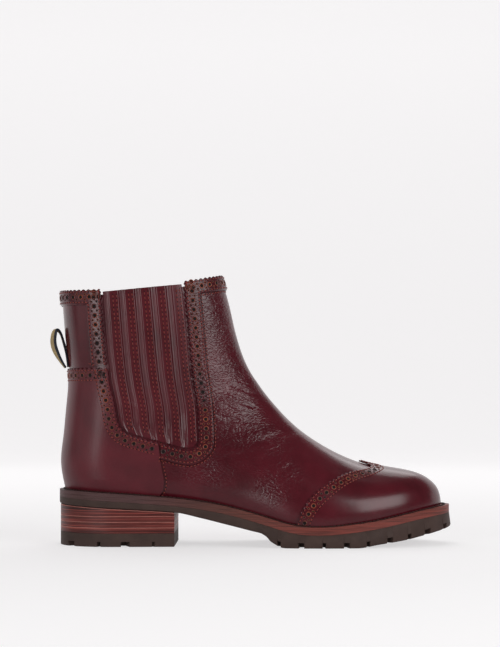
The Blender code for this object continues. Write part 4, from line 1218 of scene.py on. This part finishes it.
share = np.linspace(0.0, 1.0, PLEATS * PLEAT_STEPS + 1)[None, :]
rise = np.linspace(0.0, 1.0, GORE_ROWS)[:, None]
gore_u, gore_v = gore_place(share + 0 * rise, rise + 0 * share)
fade = np.clip(rise / GORE_FADE, 0.35, 1.0)
height = PANEL_LIFT + PLEAT_HEIGHT * ROLL_SWELL * pleat_profile(share) * fade
for name, node_name, side_u in (("outer_gore_pleats", "gore_outer", gore_u), ("inner_gore_pleats", "gore_inner", 1 - gore_u)):
    order = slice(None) if node_name == "gore_inner" else slice(None, None, -1)
    u, v, lift = side_u[order], gore_v[order], height[order]
    gore = shell(name, skin(u, v, lift + PLEAT_THICKNESS), skin(u, v, lift), [GORE_LEATHER, RAW_EDGE])
    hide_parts(node_name)

# %% [markdown]
# ## Punched holes
# Broguing is a row of large holes with pairs of small ones between them.  A hole here is
# a small crater on the leather: a raised cut rim round a near-black disc, which is painted shade where the hole goes
# down.

# %% Rows of holes
LARGE_HOLE = 0.00140
SMALL_HOLE = 0.00068
HOLE_PITCH = 0.0062
PAIR_WIDTH = 0.0017
HOLE_SIDES = 12
crater = [(0.0, 0.02), (0.84, 0.02), (0.98, 0.20), (1.12, 0.19), (1.30, -0.02), (0.0, -0.08)]
hole, hole_faces = turned(crater, HOLE_SIDES)
# The faces of each crater's floor take the painted shade.
painted_shade_faces = np.array([max(face) <= HOLE_SIDES for face in hole_faces]).astype(int)


def hole_row(edge, inset, height, sizes, turn):
    """Frames of large holes and of pairs of small ones, beside a pinked edge."""
    middle = slide(*edge, inset)
    u, v = spaced(*middle, HOLE_PITCH)
    sizes.append((path(u, v, height), np.full(len(u), LARGE_HOLE)))
    u, v = spaced(*middle, HOLE_PITCH, turn)
    for shift in (-PAIR_WIDTH, PAIR_WIDTH):
        pair = slide(u, v, shift)
        sizes.append((path(*pair, height), np.full(len(u), SMALL_HOLE)))


holes = []
hole_row(cap_edge, -0.0052, PANEL_LIFT + OVERLAY, holes, 1.0)
hole_row(counter_edge, 0.0052, PANEL_LIFT + OVERLAY, holes, 1.0)
hole_row(front_edge, -0.0052, PANEL_LIFT + FACING, holes, 1.0)
hole_row(back_edge, 0.0052, PANEL_LIFT + FACING, holes, 1.0)
punched = copies("punched_holes", hole, hole_faces, painted_shade_faces, [row[0] for row in holes],
                 np.concatenate([row[1] for row in holes]), [RIM, HOLE_SHADE])

# %% [markdown]
# ## Stitches
# Every seam is a row of thread laid on the leather, one short loaf for each stitch.

# %% Rows of stitches
STITCH_PITCH = 0.0025
STITCH_RADIUS = 0.00036
loaf = [(0.0, 2.5), (0.62, 2.0), (1.0, 0.8), (1.0, -0.8), (0.62, -2.0), (0.0, -2.5)]
stitch, stitch_faces = turned(loaf, 6)
stitch = lying(stitch)
seams = []


pricks = []


def sew(u, v, height, pitch=STITCH_PITCH):
    """One row of stitches along a line on the last, and the pricks between them."""
    seams.append(path(*spaced(u, v, pitch), height + STITCH_RADIUS * 0.35))
    pricks.append(path(*spaced(u, v, pitch, 1.0), height))


cap_height = PANEL_LIFT + OVERLAY
facing_height = PANEL_LIFT + FACING
sew(*slide(*cap_edge, -0.0018), cap_height)
sew(*slide(*cap_edge, -0.0088), cap_height)
sew(*slide(*counter_edge, 0.0018), cap_height)
sew(*slide(*counter_edge, 0.0088), cap_height)
sew(*slide(*front_edge, -0.0018), facing_height)
sew(*slide(*front_far, 0.0017), facing_height)
sew(*slide(*front_far, -0.0008), 0.0)
sew(*slide(*back_edge, 0.0018), facing_height)
sew(*slide(*back_far, -0.0018), facing_height)
seam_v = np.linspace(counter_foot[1][0], counter_edge[1][0], 40)
seam_u = np.linspace(counter_foot[0][0], counter_edge[0][0], 40)
seam_u, seam_v = slide(seam_u, seam_v, -0.0016)
sew(seam_u, seam_v, 0.0)
sew(1 - seam_u, seam_v, 0.0)
sewn = copies("panel_stitches", stitch, stitch_faces, np.zeros(len(stitch_faces), dtype=int), seams,
              np.full(sum(len(row[0]) for row in seams), STITCH_RADIUS), [THREAD])

# %% Stitches of the gores
GORE_STITCH_PITCH = 0.0030
seams = []
rise = np.linspace(0.03, 0.975, 120)
for pleat in range(PLEATS):
    for at in (0.62, 0.84):
        share = (pleat + at) / PLEATS
        u, v = gore_place(share + 0 * rise, rise)
        height = PANEL_LIFT + PLEAT_THICKNESS + PLEAT_HEIGHT * ROLL_SWELL * FLAT_HEIGHT * (1 - at / 2)
        sew(u, v, height, GORE_STITCH_PITCH)
        sew(1 - u, v, height, GORE_STITCH_PITCH)
sewn = copies("gore_stitches", stitch, stitch_faces, np.zeros(len(stitch_faces), dtype=int), seams,
              np.full(sum(len(row[0]) for row in seams), STITCH_RADIUS), [THREAD])

# %% Pricks of the needle, as dots of painted shade
# Each prick is a tiny dark dome between two stitches: painted shade of the needle hole.
PRICK_RADIUS = 0.00042
dent = [(0.0, 0.12), (0.8, 0.09), (1.0, 0.0), (0.0, -0.1)]
prick, prick_faces = turned(dent, 7)
pricked = copies("painted_needle_prick_shade", prick, prick_faces, np.zeros(len(prick_faces), dtype=int), pricks,
                 np.full(sum(len(row[0]) for row in pricks), PRICK_RADIUS), [HOLE_SHADE])

# %% [markdown]
# ## The pull loop
# A woven tape stands at the back, folded over so that a finger goes through it.  It has
# dark borders and a pale middle, which its UV map places across the tape.

# %% Woven tape
TAPE, tree, shader = new_material("woven tape", Roughness=0.85)
metres = node(tree, "ShaderNodeUVMap", uv_map="metres").outputs["UV"]
parts = node(tree, "ShaderNodeSeparateXYZ", {0: metres})
from_middle = maths(tree, "ABSOLUTE", parts.outputs[0])
border = maths(tree, "GREATER_THAN", from_middle, LOOP_WIDTH * 0.34)
rib = node(tree, "ShaderNodeTexWave", {"Vector": metres, "Scale": 420.0, "Distortion": 0.6}, bands_direction="Y")
ground = blend(tree, rib.outputs["Fac"], (0.30, 0.20, 0.07, 1.0), (0.62, 0.46, 0.22, 1.0))
tree.links.new(blend(tree, border, ground, (0.012, 0.014, 0.028, 1.0)), shader.inputs["Base Color"])
bump(tree, shader, rib.outputs["Fac"], 0.00015)

# %% Pull loop
LOOP_STEPS = 70
LOOP_COLUMNS = 21
LOOP_TURN = 0.30
height = column(LOOP, "height") * LOOP_HEIGHT
out = column(LOOP, "out") * LOOP_BULGE
run = np.concatenate(([0.0], np.cumsum(np.hypot(np.diff(height), np.diff(out)))))
at = np.linspace(0.0, run[-1], LOOP_STEPS)
up = SEAT_HEIGHT + COUNTER_TOP * BACK_HEIGHT + PANEL_GAP + spline(at, run, height)
out = GAP + LOOP_TAPE / 2 + spline(at, run, out)
v = place_on_upper(back_along(up), up)[1][:, None]
near = 0.01
reach = LOOP_WIDTH / 2 * near / abs(upper_point(np.array([0.5 - near]), v[:1, 0])[0, 1])
sideways = np.linspace(-1.0, 1.0, LOOP_COLUMNS)[None, :]
middle = upper_offset(0.5 + sideways * reach, v, out[:, None] + 0 * sideways)
turned_by = LOOP_TURN * np.clip(out / LOOP_BULGE, 0.0, 1.0)[:, None]
middle[..., 0] = middle[..., 0] - turned_by * middle[..., 1]
facing_out = np.cross(np.gradient(middle, axis=0), np.gradient(middle, axis=1))
facing_out = facing_out / np.linalg.norm(facing_out, axis=-1, keepdims=True)
thin = LOOP_TAPE / 2 * (1 - 0.35 * np.abs(sideways) ** 8)[..., None]
loop = shell("tape_loop", middle + facing_out * thin, middle - facing_out * thin, [TAPE])
width = sideways * LOOP_WIDTH / 2 + 0 * at[:, None]
length = at[:, None] + 0 * sideways
face_uv(loop, np.concatenate((width, width[::-1])), np.concatenate((length, length[::-1])))
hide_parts("pull_loop")

# %% [markdown]
# ## The sole
# Welt, midsole and rubber are slabs with the same outline.  The outline follows the
# feather line with an overhang.  Slots in the rubber are columns of the slab whose
# underside is raised, with steep walls between two columns that lie very close.

# %% Outline of the sole
SOLE_COLUMNS = 200
WALL_STEP = 0.00004


def outline(u, grow):
    """Plan of the sole's edge at u, grown outwards, as along and y.  At nothing grown
    it is the feather line with the welt's overhang."""
    u = np.asarray(u, dtype=float)
    step = 1e-4
    foot = np.zeros_like(u)
    here = upper_point(u, foot)[..., :2]
    turn = (upper_point(u + step, foot) - upper_point(u - step, foot))[..., :2]
    normal = np.stack((-turn[..., 1], turn[..., 0]), axis=-1)
    normal = normal / np.linalg.norm(normal, axis=-1, keepdims=True)
    over = spline(here[..., 0] + ORIGIN_ALONG, SIDE_ALONG, column(SIDE, "welt")) * WELT_WIDTH
    moved = here + normal * (over + grow)[..., None]
    return moved[..., 0] + ORIGIN_ALONG, moved[..., 1]


def feather_outline(u, grow):
    """Plan of the upper's outer surface at the feather line, grown outwards."""
    here = upper_point(u, np.zeros_like(u))
    over = spline(here[..., 0] + ORIGIN_ALONG, SIDE_ALONG, column(SIDE, "welt")) * WELT_WIDTH
    return outline(u, grow - over)



def outsole_top(along):
    """Top of the rubber outsole, under the midsole."""
    return midsole_top(along) - MIDSOLE_THICKNESS - GAP


def turn_at(along):
    """u on the outer side at a distance along the feather line."""
    share = (along - FEATHER_BACK) / (TIP_ALONG - FEATHER_BACK)
    return np.arccos(np.clip(2 * share - 1, -1.0, 1.0)) / (2 * np.pi)


def slotted(cuts):
    """Shares of the way round with two close columns at each wall of a cut, for the
    outer half of the outline, and whether each column lies in a cut."""
    even = np.linspace(0.0, 0.5, SOLE_COLUMNS + 1)
    walls = [even]
    inside = np.zeros(0)
    middle = column(cuts, "along") * SOLE_LENGTH
    half = column(cuts, "width") / 2
    starts = turn_at(middle + half)
    ends = turn_at(middle - half)
    step = 1e-5
    for start, end in zip(starts, ends):
        even = even[(even < start - 2 * step) | (even > start + 2 * step)]
        even = even[(even < end - 2 * step) | (even > end + 2 * step)]
    walls = np.concatenate((even, starts - step, starts + step, ends - step, ends + step))
    turns = np.sort(walls)
    inside = ((turns[:, None] > starts) & (turns[:, None] < ends)).any(axis=1)
    return turns, inside


def whole_turn(half, values=None):
    """Columns of the outer half carried on over the inner half."""
    if values is None:
        return np.concatenate((half, 1 - half[-2:0:-1]))
    return np.concatenate((values, values[-2:0:-1]))


def slab(name, rings, materials, sharp=40):
    """Closed slab through rings of (along, y, up), top to bottom.  Strips that run
    straight across close the first and the last ring."""
    points = np.stack([np.stack((along - ORIGIN_ALONG, y, up), axis=-1) for along, y, up in rings])
    count = points.shape[1]
    faces = grid_faces(len(rings), count, False, True)[:, ::-1].tolist()
    i = np.arange(count // 2)
    a, b = i, i + 1
    c, d = (count - i - 1) % count, (count - i) % count
    for shift, order in ((0, 1), ((len(rings) - 1) * count, -1)):
        for row in np.stack((a, b, c, d), axis=-1).tolist():
            corners = [shift + k for k in dict.fromkeys(row)]
            faces.append(corners[::order])
    return make_mesh(name, points, faces, materials, None, sharp)


print("outline of the sole:", round(float(outline(np.array([0.0]), 0.0)[0][0]), 4), "m at the toe")

# %% [markdown]
# ## Finishes of the sole
# The edge of welt and midsole is burnished leather with fine lines along it, redder at
# the toe and almost black at the heel.  The heel's lifts are stacked leather, with a
# painted highlight along the top edge of each.  The tread is matt rubber.

# %% Sole finishes


def streaks(tree, stretch, detail=6.0):
    """Noise drawn out along X: fine lines that run along the sole."""
    place = node(tree, "ShaderNodeTexCoord").outputs["Object"]
    drawn = node(tree, "ShaderNodeMapping", {"Vector": place, "Scale": stretch})
    inputs = {"Vector": drawn.outputs[0], "Scale": 1.0, "Detail": detail, "Roughness": 0.65}
    return place, node(tree, "ShaderNodeTexNoise", inputs).outputs["Fac"]


def ramp(tree, factor, stops):
    """Colour ramp through (place, colour) stops."""
    made = node(tree, "ShaderNodeValToRGB", {0: factor})
    marks = made.color_ramp.elements
    while len(marks) < len(stops):
        marks.new(0.5)
    for mark, (place, colour) in zip(marks, stops):
        mark.position = place
        mark.color = (*colour, 1.0)
    return made.outputs["Color"]


def edge_leather(name, toe, waist, heel):
    """Burnished edge whose colour goes from heel to toe, with fine darker lines."""
    material, tree, shader = new_material(name, Roughness=0.5, Specular_IOR_Level=0.3)
    place, lines = streaks(tree, (30.0, 30.0, 2000.0))
    x = node(tree, "ShaderNodeSeparateXYZ", {0: place}).outputs[0]
    way = maths(tree, "MULTIPLY_ADD", x, 1 / SOLE_LENGTH, ORIGIN_ALONG / SOLE_LENGTH)
    way = maths(tree, "MULTIPLY_ADD", lines, 0.16, maths(tree, "SUBTRACT", way, 0.08))
    tone = ramp(tree, way, ((0.20, heel), (0.42, waist), (0.62, toe), (1.0, toe)))
    dark = maths(tree, "MULTIPLY_ADD", lines, 1.9, -0.50)
    shader_in = blend(tree, dark, (0.045, 0.022, 0.018, 1.0), tone)
    tree.links.new(shader_in, shader.inputs["Base Color"])
    bump(tree, shader, lines, 0.0002)
    return material


EDGE_LEATHER = edge_leather("burnished edge", (0.44, 0.090, 0.068), (0.25, 0.075, 0.056), (0.180, 0.085, 0.088))
WELT_LEATHER = edge_leather("welt leather", (0.41, 0.084, 0.062), (0.24, 0.072, 0.054), (0.175, 0.082, 0.086))

STACK, tree, shader = new_material("stacked heel leather", Roughness=0.42, Specular_IOR_Level=0.35)
place, lines = streaks(tree, (14.0, 14.0, 1300.0))
tone = ramp(tree, lines, ((0.38, (0.036, 0.007, 0.006)), (0.50, (0.135, 0.021, 0.017)), (0.64, (0.340, 0.066, 0.052))))
tree.links.new(tone, shader.inputs["Base Color"])
bump(tree, shader, lines, 0.00015)

# Painted highlight: the pale pink band on the bevel at each lift's top edge stands for light caught by that edge.
LIFT_EDGE_HIGHLIGHT, tree, shader = new_material("painted highlight on lift edge", Roughness=0.5, Specular_IOR_Level=0.3)
place, lines = streaks(tree, (60.0, 60.0, 200.0))
tree.links.new(blend(tree, lines, (0.16, 0.030, 0.024, 1.0), (0.85, 0.330, 0.270, 1.0)), shader.inputs["Base Color"])

RUBBER, tree, shader = new_material("tread rubber", Roughness=0.6, Specular_IOR_Level=0.25)
place = node(tree, "ShaderNodeTexCoord").outputs["Object"]
dust = node(tree, "ShaderNodeTexNoise", {"Vector": place, "Scale": 90.0, "Detail": 5.0})
speck = node(tree, "ShaderNodeTexNoise", {"Vector": place, "Scale": 1600.0, "Detail": 2.0})
tree.links.new(blend(tree, dust.outputs["Fac"], (0.042, 0.025, 0.021, 1.0), (0.100, 0.060, 0.050, 1.0)),
               shader.inputs["Base Color"])
bump(tree, shader, speck.outputs["Fac"], 0.0001)

# %% Insole
BEVEL = 0.00014
half, inside = slotted(LUG_CUTS)
turns = whole_turn(half)
along, y = feather_outline(turns, -WALL - GAP)
base = midsole_top(along) + GAP
insole = slab("lining_insole", ((along, y, base + INSOLE_THICKNESS), (along, y, base)), [INSOLE_LEATHER])
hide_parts("insole")

# %% Welt
inner_along, inner_y = feather_outline(turns, GAP)
edge_along, edge_y = outline(turns, 0.0)
shy_along, shy_y = outline(turns, -BEVEL)
seat = seat_height(edge_along)
inner_seat = seat_height(inner_along)
rings = (
    (inner_along, inner_y, inner_seat - WELT_THICKNESS),
    (inner_along, inner_y, inner_seat),
    (shy_along, shy_y, seat_height(shy_along)),
    (edge_along, edge_y, seat - BEVEL),
    (edge_along, edge_y, seat - WELT_THICKNESS),
)
points = np.stack([np.stack((a - ORIGIN_ALONG, b, c), axis=-1) for a, b, c in rings])
faces = grid_faces(len(rings), len(turns), True, True)[:, ::-1]
welt = make_mesh("stitched_welt", points, faces, [WELT_LEATHER])
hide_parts("welt")

# %% Stitches of the welt
WELT_ROW = -0.0030
WELT_PITCH = 0.0027
WELT_STITCH_RADIUS = 0.00060
turn = np.linspace(0.0, 1.0, 1200)
row_along, row_y = outline(turn, WELT_ROW)
run = np.concatenate(([0.0], np.cumsum(np.hypot(np.diff(row_along), np.diff(row_y)))))
at = np.arange(int(run[-1] / WELT_PITCH)) * WELT_PITCH
row_along = np.interp(at, run, row_along)
row_y = np.interp(at, run, row_y)
place = np.stack((row_along - ORIGIN_ALONG, row_y, seat_height(row_along) + STITCH_RADIUS), axis=-1)
tangent = np.roll(place, -1, axis=0) - np.roll(place, 1, axis=0)
tangent = tangent / np.linalg.norm(tangent, axis=-1, keepdims=True)
side = np.cross(np.array([0.0, 0.0, 1.0]), tangent)
side = side / np.linalg.norm(side, axis=-1, keepdims=True)
frames = [(place, tangent, side, np.cross(tangent, side))]
sewn = copies("welt_stitches", stitch, stitch_faces, np.zeros(len(stitch_faces), dtype=int), frames,
              WELT_STITCH_RADIUS, [WELT_THREAD])

# %% Midsole
top_of = midsole_top(edge_along) + GAP
rings = (
    (shy_along, shy_y, midsole_top(shy_along) + GAP),
    (edge_along, edge_y, top_of - BEVEL),
    (edge_along, edge_y, top_of - GAP - MIDSOLE_THICKNESS + BEVEL),
    (shy_along, shy_y, midsole_top(shy_along) - MIDSOLE_THICKNESS),
)
midsole = slab("midsole_edge", rings, [EDGE_LEATHER])
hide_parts("midsole")

# %% Outsole with its lugs
WAIST_ALONG = 0.110
FLARE_RUN = 0.040
raised = np.where(whole_turn(half, inside.astype(float)) > 0.5, LUG_DEPTH, 0.0)


def under_ring(grow, rise):
    """Ring on the outsole's underside at a growth, with the slots raised."""
    start = outline(turns, 0.0)[0]
    flare = SOLE_FLARE * np.clip((start - WAIST_ALONG) / FLARE_RUN, 0.0, 1.0)
    along, y = outline(turns, flare + grow)
    return along, y, tread_height(along) + rise


wide = under_ring(0.0, np.maximum(raised, EDGE_ROUND))
rings = (
    (shy_along, shy_y, outsole_top(shy_along) + GAP),
    (edge_along, edge_y, outsole_top(edge_along) + GAP - BEVEL),
    wide,
    under_ring(-EDGE_ROUND * 0.3, np.maximum(raised, EDGE_ROUND * 0.3)),
    under_ring(-EDGE_ROUND, raised),
    under_ring(-LUG_LENGTH, raised),
    under_ring(-LUG_LENGTH - WALL_STEP, 0 * raised),
)
outsole = slab("lugged_outsole", rings, [RUBBER])
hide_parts("outsole")

# %% [markdown]
# ## The heel
# Four lifts of stacked leather stand on a notched rubber top piece.  Each is a slab with
# the outline of the heel and a flat breast at its front.

# %% Heel
half, inside = slotted(HEEL_CUTS)
kept = FEATHER_BACK + (TIP_ALONG - FEATHER_BACK) * (1 + np.cos(2 * np.pi * half)) / 2 < HEEL_LENGTH
half = np.concatenate(([turn_at(HEEL_LENGTH)], half[kept]))
inside = np.concatenate(([False], inside[kept]))
heel_turns = np.concatenate((half, 1 - half[-2::-1]))
cut_here = np.concatenate((inside, inside[-2::-1]))
heel_along, heel_y = outline(heel_turns, -HEEL_INSET)
NOTCH_SHARE = NOTCH_LENGTH / (HEEL_WIDTH / 2)


def heel_ring(shrink, up):
    """The heel's outline shrunk towards the middle of the heel by a share."""
    return ORIGIN_ALONG + (heel_along - ORIGIN_ALONG) * (1 - shrink), heel_y * (1 - shrink), up


def heel_slab(name, rings, materials):
    """Slab through rings of the heel; strips between the two sides close it.  The last
    material is on the bevel of its upper edge."""
    points = np.stack([np.stack((along - ORIGIN_ALONG, y, up), axis=-1) for along, y, up in rings])
    count = points.shape[1]
    faces = grid_faces(len(rings), count, False, True)[:, ::-1].tolist()
    i = np.arange(count // 2)
    rows = np.stack((i, i + 1, count - 2 - i, count - 1 - i), axis=-1).tolist()
    for shift, order in ((0, 1), ((len(rings) - 1) * count, -1)):
        for row in rows:
            corners = [shift + k for k in dict.fromkeys(row)]
            if len(corners) > 2:
                faces.append(corners[::order])
    slots = np.zeros(len(faces), dtype=int)
    slots[:count] = len(materials) - 1
    return make_mesh(name, points, faces, materials, slots)


under = tread_height(heel_along) - GAP
shy = BEVEL / (HEEL_WIDTH / 2)
LIFT_SEAM = 0.0001
HIGHLIGHT_BAND = 0.0004
thin_shy = LIFT_SEAM / (HEEL_WIDTH / 2)
floor = TOP_PIECE
# Each lift's narrow top bevel takes the painted highlight material.
for index in range(LIFT_COUNT):
    base = np.full_like(heel_along, floor + LIFT_SEAM)
    lift_top = under if index == LIFT_COUNT - 1 else np.full_like(heel_along, floor + LIFT_THICKNESS)
    rings = (heel_ring(thin_shy, lift_top), heel_ring(0.0, lift_top - HIGHLIGHT_BAND),
             heel_ring(0.0, base + LIFT_SEAM), heel_ring(thin_shy, base))
    number = LIFT_COUNT - index
    lift = heel_slab("stacked_lift_%d" % number, rings, [STACK, LIFT_EDGE_HIGHLIGHT])
    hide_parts("heel_lift_%d" % number)
    floor = floor + LIFT_THICKNESS

notch = np.where(cut_here, NOTCH_DEPTH, 0.0)
top_of = np.full_like(heel_along, TOP_PIECE)
rings = (heel_ring(shy, top_of), heel_ring(0.0, top_of - BEVEL),
         heel_ring(0.0, np.maximum(notch, 2 * BEVEL)), heel_ring(2 * shy, notch),
         heel_ring(NOTCH_SHARE, notch), heel_ring(NOTCH_SHARE + WALL_STEP * 10, 0 * notch))
top_piece = heel_slab("rubber_top_piece", rings, [RUBBER])
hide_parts("heel_top_piece")

# %% [markdown]
# ## Floor, light and camera
# The boot stands on a pale sweep under large soft lamps.  The camera looks level at its
# outer side, as in the photograph.

# %% Pale sweep
SWEEP_DEPTH = 2.2
SWEEP_WIDTH = 24.0
SWEEP_HEIGHT = 3.0
SWEEP_FRONT = -12.0
PALE_TINT = (1.0, 0.985, 0.992, 1.0)
PALE, tree, shader = new_material("pale sweep", Base_Color=(0.44, 0.436, 0.438, 1.0), Roughness=0.95)
shader.inputs["Specular IOR Level"].default_value = 0.0
shader.inputs["Emission Color"].default_value = PALE_TINT
seen = node(tree, "ShaderNodeLightPath").outputs["Is Camera Ray"]
place = node(tree, "ShaderNodeTexCoord").outputs["Object"]
depth = node(tree, "ShaderNodeSeparateXYZ", {0: place}).outputs[1]
behind = node(tree, "ShaderNodeMapRange", {0: depth, 1: -0.25, 2: 0.6, 3: 0.05, 4: 0.75}).outputs[0]
away = node(tree, "ShaderNodeVectorMath", {0: place}, operation="LENGTH").outputs["Value"]
near = node(tree, "ShaderNodeMapRange", {0: away, 1: 0.3, 2: 1.4, 3: 0.595, 4: 0.740}).outputs[0]
pale = node(tree, "ShaderNodeMapRange", {0: depth, 1: -0.9, 2: -3.0, 3: near, 4: 0.905}).outputs[0]
glow = node(tree, "ShaderNodeMix", {0: seen, 2: behind, 3: pale}, data_type="FLOAT").outputs[0]
tree.links.new(glow, shader.inputs["Emission Strength"])
bend = np.linspace(0.0, np.pi / 2, 24)
profile_y = np.concatenate(([SWEEP_FRONT], SWEEP_DEPTH + np.sin(bend), [SWEEP_DEPTH + 1.0]))
profile_z = np.concatenate(([0.0], 1 - np.cos(bend), [SWEEP_HEIGHT]))
x = np.array([-SWEEP_WIDTH / 2, SWEEP_WIDTH / 2])
points = np.stack((x + 0 * profile_y[:, None], profile_y[:, None] + 0 * x, profile_z[:, None] + 0 * x), axis=-1)
mesh = bpy.data.meshes.new("sweep")
mesh.from_pydata(points.reshape(-1, 3).tolist(), [], grid_faces(len(points), 2)[:, ::-1].tolist())
mesh.materials.append(PALE)
mesh.shade_smooth()
sweep = bpy.data.objects.new("sweep", mesh)
bpy.context.scene.collection.objects.link(sweep)

# %% Surroundings: pale to the camera, dim to the leather
world = bpy.data.worlds.new("studio")
bpy.context.scene.world = world
world.use_nodes = True
tree = world.node_tree
background = tree.nodes["Background"]
background.inputs["Color"].default_value = PALE_TINT
seen = node(tree, "ShaderNodeLightPath").outputs["Is Camera Ray"]
strength = node(tree, "ShaderNodeMix", {0: seen, 2: 0.08, 3: 0.905}, data_type="FLOAT").outputs[0]
tree.links.new(strength, background.inputs["Strength"])
bpy.context.scene.view_settings.view_transform = "Standard"

# %% Lamps
TARGET = np.array([0.09, 0.0, 0.08])


def lamp(name, place, size, power):
    """Soft rectangular lamp that looks at the boot."""
    light = bpy.data.lights.new(name, "AREA")
    light.shape = "RECTANGLE"
    light.size, light.size_y = size
    light.energy = power
    thing = bpy.data.objects.new(name, light)
    thing.location = place
    away = np.array(place) - TARGET
    turn = math.atan2(away[0], -away[1])
    tilt = math.atan2(math.hypot(away[0], away[1]), away[2])
    thing.rotation_euler = (tilt, 0.0, turn)
    bpy.context.scene.collection.objects.link(thing)
    return thing


lamp("far_left_box", (-1.35, -0.75, 0.36), (1.3, 1.1), 2.6)
lamp("left_box", (-0.62, -1.27, 0.33), (0.40, 0.6), 3.6)
lamp("right_box", (1.02, -0.95, 0.62), (0.95, 0.8), 8.0)
lamp("top_box", (0.0, 0.2, 1.5), (1.2, 0.8), 4.5)
lamp("back_box", (0.0, 1.1, 1.2), (1.6, 0.8), 6.0)

# %% Camera at the photograph's angle
LENS = 97.2
HORIZON_SHIFT = 0.1312
SIDE_SHIFT = -0.0046
CAMERA_PLACE = (0.0926, -1.2, 0.0927)
camera = bpy.data.cameras.new("camera")
camera.lens = LENS
camera.sensor_width = 36.0
camera.shift_x = SIDE_SHIFT
camera.shift_y = HORIZON_SHIFT
view = bpy.data.objects.new("camera", camera)
view.location = CAMERA_PLACE
view.rotation_euler = (math.pi / 2, 0.0, 0.0)
bpy.context.scene.collection.objects.link(view)
bpy.context.scene.camera = view
